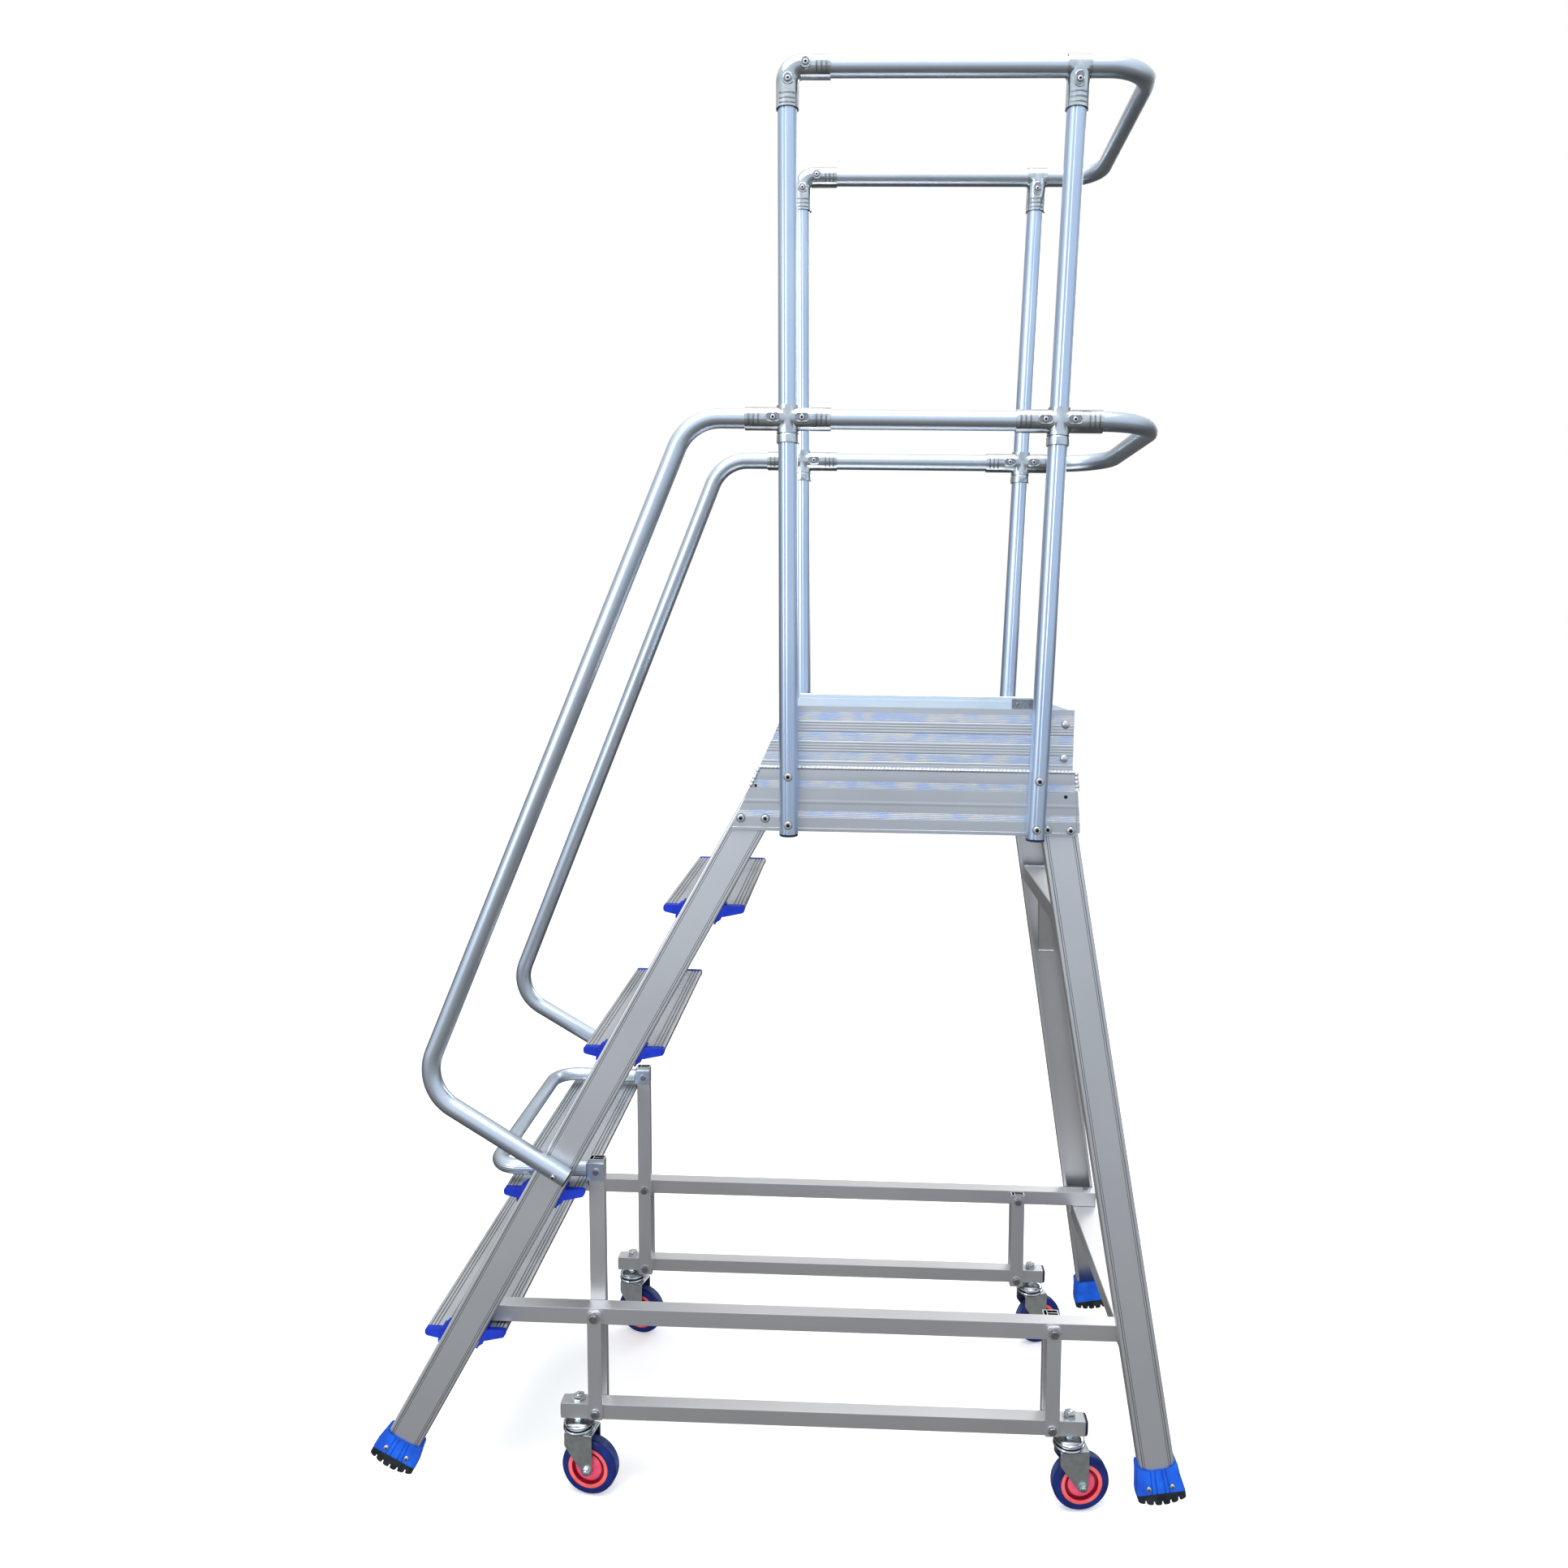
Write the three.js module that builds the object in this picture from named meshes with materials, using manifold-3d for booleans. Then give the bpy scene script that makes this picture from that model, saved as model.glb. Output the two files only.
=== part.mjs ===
// Wheeled aluminium platform steps: an A-frame with four ribbed treads, a guarded platform,
// and two caster beams that a foot pedal lets down so that the steps roll instead of standing.
// Millimetres. +Z is up, +X points to the rear legs, the climber goes up from -X to +X.
// The origin is the middle of the bounding box at floor level, with the wheels let down.
import * as THREE from "three";
import { mergeVertices } from "three/addons/utils/BufferGeometryUtils.js";
import Module from "manifold-3d";

const wasm = await Module();
wasm.setup();

// ---- Driving dimensions ----
const GAP = 0.3; // running clearance between neighbouring pieces
const SIDES = { right: -1, left: 1 }; // sign of Y, as a climber facing +X sees them

const TREAD_COUNT = 4;
const RISE = 250; // from one tread to the next
const RUN = 135.9; // each tread stands this much behind the one below
const FIRST_TREAD = { top: 317, front: -615.3 };
const TREAD = { depth: 141, thick: 22, nose: 13, legClearance: 1.2 };

const FLARE = 0.082; // each leg moves out this much per mm of drop
const FLARE_AT = { z: 319, y: 290 }; // outer face of every leg at this height
const LEG = { width: 61, flange: 25, wall: 3, top: 1262 };
const FRONT_LEG = { x0: -714.8, slope: 0.5408, foot: 124 };
const REAR_LEG = { x0: 681, slope: -0.1726, foot: 120 };
const FOOT = { topWidth: 70, endWidth: 84, thick: 35, collar: 40, sole: 24, sag: 11, socket: 14 };

const DECK = { top: 1311, front: -43, rear: 482.2, skin: 3, rib: 24, halfWidth: 216.5, ribs: 9 };
const PLATE = { bottom: 1200, top: 1310.6, outer: 224.4, wall: 5.4, frontLow: -92, rearLow: 507 };
const TOE = { top: 1416, wall: 5, outer: 222.6, rear: 490.5, slope: 0.44 };

const TUBE = { outer: 16, inner: 14 };
const SLEEVE = { outer: 18.8, inner: 16.8, level: 71, above: 20, below: 30 }; // cross joint's arms
const TOP_JOINT = { below: 66, elbowEnd: 62, bend: 24, teeHalf: 19 };
const TOP_RAIL_Z = 2451;
const MID_RAIL_Z = 1892;
const POST_BOTTOM_Z = 1194;
const POST_SPREAD = { y0: 241.5, lean: 0.0092 }; // half spacing at POST_BOTTOM_Z, and how it closes
const FRONT_POST = { x0: 9.8, lean: -0.0142 };
const REAR_POST = { x0: 427.6, lean: 0.0269 };
const TOP_BOW = { x: 585, radius: 75 };
const MID_BOW = { x: 616, radius: 98 };
const HANDRAIL = { elbowX: -165.6, kneeX: -619, kneeZ: 750, endX: -362, endZ: 596, radius: 78 };

const RAIL = { z: 334, height: 30, depth: 28, y: 247, front: -556, rear: 653, wall: 2 };
const BEAM = { z: 156, height: 28, depth: 28, front: -384, rear: 550 };
const PIVOT = { front: -321.5, rear: 484, overCentre: 1.9, bolt: 5 };
const LEVER = { width: 28, depth: 18, top: 608, boltZ: 587, wall: 2 };
const LINK = { width: 25, thick: 5.5, overhang: 13, head: 5 };
const PEDAL = { x: -510.6, z: 587, radius: 45, outer: 13.5, inner: 11.5 };
const CLEVIS = { wall: 3, low: 573, high: 601 };

const WHEEL = { radius: 51, width: 30, bore: 6.3, trail: 22 };
const CASTERS = {
  front_right: { x: -353, yaw: -10 },
  front_left: { x: -353, yaw: -16 },
  rear_right: { x: 519, yaw: 7 },
  rear_left: { x: 519, yaw: 20 },
};
const FORK = { wall: 2.6, crownZ: 110, raceZ: 137, legHalf: 21, stem: 6, nutZ: 171 };

const CROSS_TOP = { z: 1051.7, height: 28.6, depth: 50, shift: -2 }; // shift is from the legs' middle
const CROSS_LOW = { z: 304.4, height: 28.6, depth: 50, shift: 0.5 }; // the side rails rest on it
const BRACE = { reach: 150, drop: 175.7, wall: 18, depth: 30 };

// ---- Materials ----
const finish = (color, roughness, metalness) =>
  new THREE.MeshStandardMaterial({ color, roughness, metalness });
const materials = {
  aluminium: finish(0xa9b0b6, 0.42, 0.85),
  ribbed: finish(0xb7bec8, 0.5, 0.8),
  nickel: finish(0xc9d2d6, 0.22, 0.95),
  zinc: finish(0x9ba6a8, 0.35, 0.9),
  blue: finish(0x0a4be0, 0.5, 0),
  tyre: finish(0x0b2a78, 0.55, 0),
};

// ---- Solids ----
function solid(geometry) {
  const plain = geometry.index ? geometry.toNonIndexed() : geometry.clone();
  plain.deleteAttribute("normal");
  plain.deleteAttribute("uv");
  const merged = mergeVertices(plain, 1e-4);
  return new wasm.Manifold(
    new wasm.Mesh({
      numProp: 3,
      vertProperties: new Float32Array(merged.attributes.position.array),
      triVerts: new Uint32Array(merged.index.array),
    }),
  );
}

function toGeometry(body) {
  const mesh = body.getMesh();
  const geometry = new THREE.BufferGeometry();
  geometry.setAttribute("position", new THREE.BufferAttribute(mesh.vertProperties, 3));
  geometry.setIndex(new THREE.BufferAttribute(mesh.triVerts, 1));
  geometry.computeVertexNormals();
  return geometry;
}

const join = (bodies) => bodies.reduce((sum, body) => sum.add(body));
const cut = (body, tools) => tools.reduce((rest, tool) => rest.subtract(tool), body);

function block(x0, x1, y0, y1, z0, z1) {
  const geometry = new THREE.BoxGeometry(Math.abs(x1 - x0), Math.abs(y1 - y0), Math.abs(z1 - z0));
  geometry.translate((x0 + x1) / 2, (y0 + y1) / 2, (z0 + z1) / 2);
  return solid(geometry);
}

// A round bar between two points.
function bar(from, to, radius, sides = 12) {
  const a = new THREE.Vector3(...from);
  const b = new THREE.Vector3(...to);
  const geometry = new THREE.CylinderGeometry(radius, radius, a.distanceTo(b), sides);
  const turn = new THREE.Quaternion().setFromUnitVectors(
    new THREE.Vector3(0, 1, 0),
    b.clone().sub(a).normalize(),
  );
  geometry.applyQuaternion(turn);
  const middle = a.add(b).multiplyScalar(0.5);
  geometry.translate(middle.x, middle.y, middle.z);
  return solid(geometry);
}

// An outline given as [u, v] pairs.
function outline(points) {
  return new THREE.Shape(points.map(([u, v]) => new THREE.Vector2(u, v)));
}

// An outline in the X-Z plane, run along Y from y0 to y1.
function alongY(points, y0, y1) {
  const geometry = new THREE.ExtrudeGeometry(outline(points), {
    depth: y1 - y0,
    bevelEnabled: false,
  });
  geometry.rotateX(Math.PI / 2);
  geometry.translate(0, y1, 0);
  return solid(geometry);
}

// A closed surface of revolution: [radius, height] pairs about +Z.
function turned(profile, sides) {
  const geometry = new THREE.LatheGeometry(
    profile.map(([radius, height]) => new THREE.Vector2(radius, height)),
    sides,
  );
  geometry.rotateX(Math.PI / 2);
  return solid(geometry);
}

// ---- Tubes ----
// A route visits its points in order, so a straight run takes a single step.
class Route extends THREE.Curve {
  constructor(points) {
    super();
    this.points = points;
  }
  getPoint(t, target = new THREE.Vector3()) {
    const place = Math.min(Math.max(t, 0), 1) * (this.points.length - 1);
    const index = Math.min(Math.floor(place), this.points.length - 2);
    return target.lerpVectors(this.points[index], this.points[index + 1], place - index);
  }
  getPointAt(u, target) {
    return this.getPoint(u, target);
  }
  getUtoTmapping(u) {
    return u;
  }
  getTangentAt(u, target = new THREE.Vector3()) {
    const last = this.points.length - 1;
    const index = Math.round(u * last);
    const before = this.points[Math.max(index - 1, 0)];
    const after = this.points[Math.min(index + 1, last)];
    const here = this.points[index];
    const arrive = here.clone().sub(before).normalize();
    const leave = after.clone().sub(here).normalize();
    return target.copy(arrive).add(leave).normalize();
  }
}

// Corners joined by straight runs, with each inner corner bent to a radius.
function bentRoute(corners, radius, steps = 5) {
  const points = corners.map((corner) => new THREE.Vector3(...corner));
  const route = [points[0]];
  for (let i = 1; i < points.length - 1; i += 1) {
    const back = points[i - 1].clone().sub(points[i]).normalize();
    const on = points[i + 1].clone().sub(points[i]).normalize();
    const half = back.angleTo(on) / 2;
    const middle = back.clone().add(on).normalize();
    const centre = points[i].clone().addScaledVector(middle, radius / Math.sin(half));
    const sweep = Math.PI - 2 * half;
    const arm = middle.clone().negate();
    const axis = new THREE.Vector3().crossVectors(back, on).normalize();
    for (let k = 0; k <= steps; k += 1) {
      const angle = sweep / 2 - (sweep * k) / steps;
      const spoke = arm.clone().applyAxisAngle(axis, angle).multiplyScalar(radius);
      route.push(centre.clone().add(spoke));
    }
  }
  route.push(points[points.length - 1]);
  return new Route(route);
}

// A regular polygon that stands for a circle.
function circlePoints(radius, sides) {
  return Array.from({ length: sides }, (_, i) => {
    const angle = (2 * Math.PI * i) / sides;
    return new THREE.Vector2(radius * Math.cos(angle), radius * Math.sin(angle));
  });
}

// A round tube along a route, open at both ends.
function pipe(route, outer, inner, sides = 12, innerSides = 6) {
  const section = new THREE.Shape(circlePoints(outer, sides));
  section.holes.push(new THREE.Path(circlePoints(inner, innerSides)));
  return solid(
    new THREE.ExtrudeGeometry(section, {
      steps: route.points.length - 1,
      extrudePath: route,
      bevelEnabled: false,
    }),
  );
}

// A straight rectangular tube along X, open at both ends.
function boxTube(x0, x1, y, z, depth, height, wall) {
  const shell = block(x0, x1, y - depth / 2, y + depth / 2, z - height / 2, z + height / 2);
  const hollow = block(
    x0 - 1,
    x1 + 1,
    y - depth / 2 + wall,
    y + depth / 2 - wall,
    z - height / 2 + wall,
    z + height / 2 - wall,
  );
  return shell.subtract(hollow);
}

// ---- Assembly helpers ----
const group = new THREE.Group();

function add(name, body, material, parent = group) {
  const mesh = new THREE.Mesh(toGeometry(body), material);
  mesh.name = name;
  parent.add(mesh);
}

const legOuterY = (z) => FLARE_AT.y - FLARE * (z - FLARE_AT.z);
const legX = (leg, z) => leg.x0 + leg.slope * z;
const postY = (z) => POST_SPREAD.y0 - POST_SPREAD.lean * (z - POST_BOTTOM_Z);
const postX = (post, z) => post.x0 + post.lean * (z - POST_BOTTOM_Z);

// The leg's own axes: along it, outward from its web, and across its web.
function legFrame(leg, sign) {
  const along = new THREE.Vector3(leg.slope, -sign * FLARE, 1).normalize();
  const out = new THREE.Vector3(0, sign, 0);
  out.addScaledVector(along, -out.dot(along)).normalize();
  const across = new THREE.Vector3().crossVectors(out, along);
  return new THREE.Matrix4().makeBasis(across, out, along);
}

// Takes a shape drawn in a leg's axes to its place at height z on that leg.
function placeOnLeg(geometry, leg, sign, z) {
  const frame = legFrame(leg, sign);
  frame.setPosition(legX(leg, z), sign * legOuterY(z), z);
  geometry.applyMatrix4(frame);
  return solid(geometry);
}

// ---- A-frame ----
// A C-channel: the web faces out, both flanges point in.
function leg(which, sign) {
  const half = LEG.width / 2;
  const inner = half - LEG.wall;
  const shape = outline([
    [-half, 0],
    [-half, -LEG.flange],
    [-inner, -LEG.flange],
    [-inner, -LEG.wall],
    [inner, -LEG.wall],
    [inner, -LEG.flange],
    [half, -LEG.flange],
    [half, 0],
  ]);
  const start = which.foot - FOOT.socket;
  const stretch = Math.hypot(1, which.slope, FLARE);
  const geometry = new THREE.ExtrudeGeometry(shape, {
    depth: (LEG.top - start) * stretch,
    bevelEnabled: false,
  });
  return placeOnLeg(geometry, which, sign, start);
}

// A cap round the end of a leg, with an arched sole and a socket that holds the channel.
function foot(which, sign) {
  const topHalf = FOOT.topWidth / 2;
  const endHalf = FOOT.endWidth / 2;
  const shape = new THREE.Shape();
  shape.moveTo(-topHalf, 0);
  shape.lineTo(-endHalf, -FOOT.collar);
  shape.lineTo(-endHalf + 2, -FOOT.collar - FOOT.sole + FOOT.sag);
  shape.quadraticCurveTo(0, -FOOT.collar - FOOT.sole - FOOT.sag, endHalf - 2,
    -FOOT.collar - FOOT.sole + FOOT.sag);
  shape.lineTo(endHalf, -FOOT.collar);
  shape.lineTo(topHalf, 0);
  const shell = new THREE.ExtrudeGeometry(shape, {
    depth: FOOT.thick,
    curveSegments: 6,
    bevelEnabled: false,
  });
  // Stand the outline up along the leg, centred on the channel's depth.
  shell.rotateX(Math.PI / 2);
  shell.translate(0, (FOOT.thick - LEG.flange) / 2, 0);
  const socket = new THREE.BoxGeometry(
    LEG.width + 2 * GAP,
    LEG.flange + 2 * GAP,
    2 * (FOOT.socket + 2),
  );
  socket.translate(0, -LEG.flange / 2, 0);
  return placeOnLeg(shell, which, sign, which.foot).subtract(
    placeOnLeg(socket, which, sign, which.foot),
  );
}

// A ribbed board whose moulded ends wrap the legs, front and back.
function tread(index) {
  const top = FIRST_TREAD.top + index * RISE;
  const front = FIRST_TREAD.front + index * RUN;
  const back = front + TREAD.depth;
  const low = top - TREAD.thick;
  const profile = [
    [front + 3, top],
    [front, top - 5],
    [front, top - TREAD.nose],
    [front + 34, low],
    [back - 34, low],
    [back, top - TREAD.nose],
    [back, top - 5],
    [back - 3, top],
  ];
  const reach = legOuterY(top) - 3;
  const board = alongY(profile, -reach, reach);
  const hollow = block(front + 12, back - 12, -reach - 1, reach + 1, top - 11, top - 3);
  return cut(
    board.subtract(hollow),
    Object.values(SIDES).map((sign) => {
      const clear = new THREE.BoxGeometry(
        LEG.width + 2 * TREAD.legClearance,
        2 * LEG.flange + 2 * GAP,
        120,
      );
      return placeOnLeg(clear, FRONT_LEG, sign, top - TREAD.thick / 2);
    }),
  );
}

// A rectangular tube across the frame between two legs of one pair.
function crossTube(leg, bar) {
  const x = legX(leg, bar.z) + bar.shift;
  const reach = legOuterY(bar.z + bar.height / 2) - LEG.flange - 3;
  const x0 = x - bar.depth / 2;
  const x1 = x + bar.depth / 2;
  const z0 = bar.z - bar.height / 2;
  const z1 = bar.z + bar.height / 2;
  return block(x0, x1, -reach, reach, z0, z1).subtract(
    block(x0 + 2, x1 - 2, -reach - 1, reach + 1, z0 + 2, z1 - 2),
  );
}

// The upper cross tube with its two corner braces down to the legs.
function upperCross() {
  const tube = crossTube(REAR_LEG, CROSS_TOP);
  const x = legX(REAR_LEG, CROSS_TOP.z) + CROSS_TOP.shift;
  const underside = CROSS_TOP.z - CROSS_TOP.height / 2 + 0.5;
  const foot = CROSS_TOP.z - BRACE.drop;
  const braces = Object.values(SIDES).map((sign) => {
    const legSide = legOuterY(foot) - LEG.flange - 4;
    const inner = legSide - BRACE.reach;
    // Drawn as [y, z]; run along X and sheared so that it follows the leaning legs.
    const shape = outline([
      [sign * inner, underside],
      [sign * legSide, foot],
      [sign * legSide, foot + BRACE.wall * 1.5],
      [sign * (inner + BRACE.wall), underside],
    ]);
    const geometry = new THREE.ExtrudeGeometry(shape, { depth: BRACE.depth, bevelEnabled: false });
    geometry.applyMatrix4(
      new THREE.Matrix4().set(
        0, REAR_LEG.slope, 1, x - BRACE.depth / 2 - REAR_LEG.slope * underside,
        1, 0, 0, 0,
        0, 1, 0, 0,
        0, 0, 0, 1,
      ),
    );
    return solid(geometry);
  });
  return join([tube, ...braces]);
}

for (const [side, sign] of Object.entries(SIDES)) {
  add(`front_leg_${side}`, leg(FRONT_LEG, sign), materials.aluminium);
  add(`rear_leg_${side}`, leg(REAR_LEG, sign), materials.aluminium);
  add(`front_foot_${side}`, foot(FRONT_LEG, sign), materials.blue);
  add(`rear_foot_${side}`, foot(REAR_LEG, sign), materials.blue);
}
for (let index = 0; index < TREAD_COUNT; index += 1) {
  add(`tread_${index + 1}`, tread(index), materials.ribbed);
}
add("rear_upper_cross_tube", upperCross(), materials.aluminium);
add("rear_lower_cross_tube", crossTube(REAR_LEG, CROSS_LOW), materials.aluminium);

// ---- Platform ----
// The deck is a thin skin on ribs that run from side to side of the climber's path.
function deck() {
  const low = DECK.top - DECK.skin - DECK.rib;
  const skin = block(DECK.front, DECK.rear, -DECK.halfWidth, DECK.halfWidth,
    DECK.top - DECK.skin, DECK.top);
  const ribs = Array.from({ length: DECK.ribs }, (_, i) => {
    const y = -DECK.halfWidth + 1.5 + ((2 * DECK.halfWidth - 3) * i) / (DECK.ribs - 1);
    return block(DECK.front, DECK.rear, y - 1.5, y + 1.5, low, DECK.top - DECK.skin + 0.5);
  });
  return join([skin, ...ribs]);
}

function sidePlate(sign) {
  const shape = [
    [PLATE.frontLow, PLATE.bottom],
    [PLATE.rearLow - 8, PLATE.bottom],
    [PLATE.rearLow, PLATE.bottom + 8],
    [PLATE.rearLow - 10, PLATE.top],
    [DECK.front - 1, PLATE.top],
  ];
  const faces = [sign * PLATE.outer, sign * (PLATE.outer - PLATE.wall)].sort((a, b) => a - b);
  return alongY(shape, faces[0], faces[1]);
}

function sideToeBoard(sign) {
  const low = DECK.top + GAP;
  const shape = [
    [DECK.front, low],
    [TOE.rear, low],
    [TOE.rear, TOE.top],
    [DECK.front + TOE.slope * (TOE.top - low), TOE.top],
  ];
  const faces = [sign * TOE.outer, sign * (TOE.outer - TOE.wall)].sort((a, b) => a - b);
  return alongY(shape, faces[0], faces[1]);
}

add("deck", deck(), materials.ribbed);
for (const [side, sign] of Object.entries(SIDES)) {
  add(`side_plate_${side}`, sidePlate(sign), materials.ribbed);
  add(`toe_board_${side}`, sideToeBoard(sign), materials.ribbed);
}
const toeInner = TOE.outer - TOE.wall - GAP;
add(
  "toe_board_rear",
  block(TOE.rear - TOE.wall - 3, TOE.rear - 3, -toeInner, toeInner, DECK.top + GAP, TOE.top - 2),
  materials.ribbed,
);

// ---- Guard rails ----
function post(which, sign, top) {
  const at = (z) => [postX(which, z), sign * postY(z), z];
  return pipe(bentRoute([at(POST_BOTTOM_Z), at(top)], 1), TUBE.outer, TUBE.inner);
}

// A sleeve that holds a level rail to a post; both run through it.
function crossJoint(which, sign) {
  const z = MID_RAIL_Z;
  const x = postX(which, z);
  const y = sign * postY(z);
  const at = (height) => [postX(which, height), sign * postY(height), height];
  const arms = (radius, extra) => [
    bar([x - SLEEVE.level - extra, y, z], [x + SLEEVE.level + extra, y, z], radius),
    bar(at(z - SLEEVE.below - extra), at(z + SLEEVE.above + extra), radius),
  ];
  return cut(join(arms(SLEEVE.outer, 0)), arms(SLEEVE.inner, 10));
}

function topElbow(sign) {
  const z = TOP_RAIL_Z;
  const low = z - TOP_JOINT.below;
  const corners = [
    [postX(FRONT_POST, low), sign * postY(low), low],
    [postX(FRONT_POST, z), sign * postY(z), z],
    [TOP_JOINT.elbowEnd, sign * postY(z), z],
  ];
  return pipe(bentRoute(corners, TOP_JOINT.bend, 4), SLEEVE.outer, SLEEVE.inner, 12, 12);
}

function topTee(sign) {
  const z = TOP_RAIL_Z;
  const x = postX(REAR_POST, z);
  const y = sign * postY(z);
  const arms = (radius, extra) => {
    const low = z - TOP_JOINT.below - extra;
    return [
      bar([x - TOP_JOINT.teeHalf - extra, y, z], [x + TOP_JOINT.teeHalf + extra, y, z], radius),
      bar([postX(REAR_POST, low), sign * postY(low), low], [x, y, z], radius),
    ];
  };
  return cut(join(arms(SLEEVE.outer, 0)), arms(SLEEVE.inner, 10));
}

const POST_TOP = { front: TOP_RAIL_Z - 26, rear: TOP_RAIL_Z - SLEEVE.inner - 2 };
const jointX = { front: postX(FRONT_POST, MID_RAIL_Z), rear: postX(REAR_POST, MID_RAIL_Z) };
const midY = postY(MID_RAIL_Z);
const topY = postY(TOP_RAIL_Z);
const railEnd = TUBE.outer + 2; // how far a mid rail stops from a post's axis

// Handrail from the front cross joint, out and down to the outer face of the front leg.
function handrail(sign) {
  const endY = legOuterY(HANDRAIL.endZ) + TUBE.outer + 1;
  const spread = (endY - midY) / (MID_RAIL_Z - HANDRAIL.endZ);
  const at = (x, z) => [x, sign * (midY + spread * (MID_RAIL_Z - z)), z];
  const corners = [
    at(jointX.front - railEnd, MID_RAIL_Z),
    at(HANDRAIL.elbowX, MID_RAIL_Z),
    at(HANDRAIL.kneeX, HANDRAIL.kneeZ),
    at(HANDRAIL.endX, HANDRAIL.endZ),
  ];
  return pipe(bentRoute(corners, HANDRAIL.radius, 5), TUBE.outer, TUBE.inner);
}

for (const [side, sign] of Object.entries(SIDES)) {
  add(`front_post_${side}`, post(FRONT_POST, sign, POST_TOP.front), materials.aluminium);
  add(`rear_post_${side}`, post(REAR_POST, sign, POST_TOP.rear), materials.aluminium);
  add(`front_cross_joint_${side}`, crossJoint(FRONT_POST, sign), materials.nickel);
  add(`rear_cross_joint_${side}`, crossJoint(REAR_POST, sign), materials.nickel);
  add(`top_elbow_${side}`, topElbow(sign), materials.nickel);
  add(`top_tee_${side}`, topTee(sign), materials.nickel);
  add(`handrail_${side}`, handrail(sign), materials.aluminium);
  const from = [jointX.front + railEnd, sign * midY, MID_RAIL_Z];
  const to = [jointX.rear - railEnd, sign * midY, MID_RAIL_Z];
  add(
    `mid_rail_${side}`,
    pipe(bentRoute([from, to], 1), TUBE.outer, TUBE.inner),
    materials.aluminium,
  );
}

// A level bow from one side to the other round the rear of the platform.
function bow(startX, halfWidth, z, shape) {
  const corners = [
    [startX, -halfWidth, z],
    [shape.x, -halfWidth, z],
    [shape.x, halfWidth, z],
    [startX, halfWidth, z],
  ];
  return pipe(bentRoute(corners, shape.radius, 5), TUBE.outer, TUBE.inner);
}
add("top_rail", bow(22, topY, TOP_RAIL_Z, TOP_BOW), materials.aluminium);
add("rear_bow", bow(jointX.rear + railEnd, midY, MID_RAIL_Z, MID_BOW), materials.aluminium);

// ---- Side rails, caster beams and the lifting linkage ----
const lowX = (pivotX) => pivotX + PIVOT.overCentre;
const leverLean = PIVOT.overCentre / (RAIL.z - BEAM.z);
const railInner = RAIL.y - RAIL.depth / 2;
const railOuter = RAIL.y + RAIL.depth / 2;
const leverY = railInner - GAP - LEVER.depth / 2;

function drill(x, z, y, radius = PIVOT.bolt + GAP) {
  return bar([x, y - 60, z], [x, y + 60, z], radius, 10);
}

function sideRail(sign) {
  const y = sign * RAIL.y;
  const tube = boxTube(RAIL.front, RAIL.rear, y, RAIL.z, RAIL.depth, RAIL.height, RAIL.wall);
  return cut(tube, [drill(PIVOT.front, RAIL.z, y), drill(PIVOT.rear, RAIL.z, y)]);
}

function casterBeam(sign) {
  const y = sign * RAIL.y;
  const tube = boxTube(BEAM.front, BEAM.rear, y, BEAM.z, BEAM.depth, BEAM.height, RAIL.wall);
  const stems = [CASTERS.front_right.x, CASTERS.rear_right.x].map((x) =>
    bar([x, y, BEAM.z - 30], [x, y, BEAM.z + 30], FORK.stem + GAP, 12),
  );
  const bolts = [drill(lowX(PIVOT.front), BEAM.z, y), drill(lowX(PIVOT.rear), BEAM.z, y)];
  return cut(tube, [...stems, ...bolts]);
}

// An upright rectangular tube between two heights, leaning with the linkage.
function uprightTube(pivotX, y, width, depth, wall, z0, z1) {
  const outer = new THREE.BoxGeometry(width, depth, z1 - z0);
  const inner = new THREE.BoxGeometry(width - 2 * wall, depth - 2 * wall, z1 - z0 + 2);
  const lean = new THREE.Matrix4().set(
    1, 0, -leverLean, pivotX - leverLean * ((z0 + z1) / 2 - RAIL.z),
    0, 1, 0, y,
    0, 0, 1, (z0 + z1) / 2,
    0, 0, 0, 1,
  );
  outer.applyMatrix4(lean);
  inner.applyMatrix4(lean);
  return solid(outer).subtract(solid(inner));
}

function liftLever(sign) {
  const y = sign * leverY;
  const low = BEAM.z - LINK.overhang;
  const tube = uprightTube(PIVOT.front, y, LEVER.width, LEVER.depth, LEVER.wall, low, LEVER.top);
  return cut(tube, [
    drill(lowX(PIVOT.front), BEAM.z, y),
    drill(PIVOT.front, RAIL.z, y),
    drill(PIVOT.front - leverLean * (LEVER.boltZ - RAIL.z), LEVER.boltZ, y),
  ]);
}

function innerLink(sign) {
  const y = sign * leverY;
  const low = BEAM.z - LINK.overhang;
  const high = RAIL.z + LINK.overhang;
  const tube = uprightTube(PIVOT.rear, y, LEVER.width, LEVER.depth, LEVER.wall, low, high);
  return cut(tube, [drill(lowX(PIVOT.rear), BEAM.z, y), drill(PIVOT.rear, RAIL.z, y)]);
}

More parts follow.
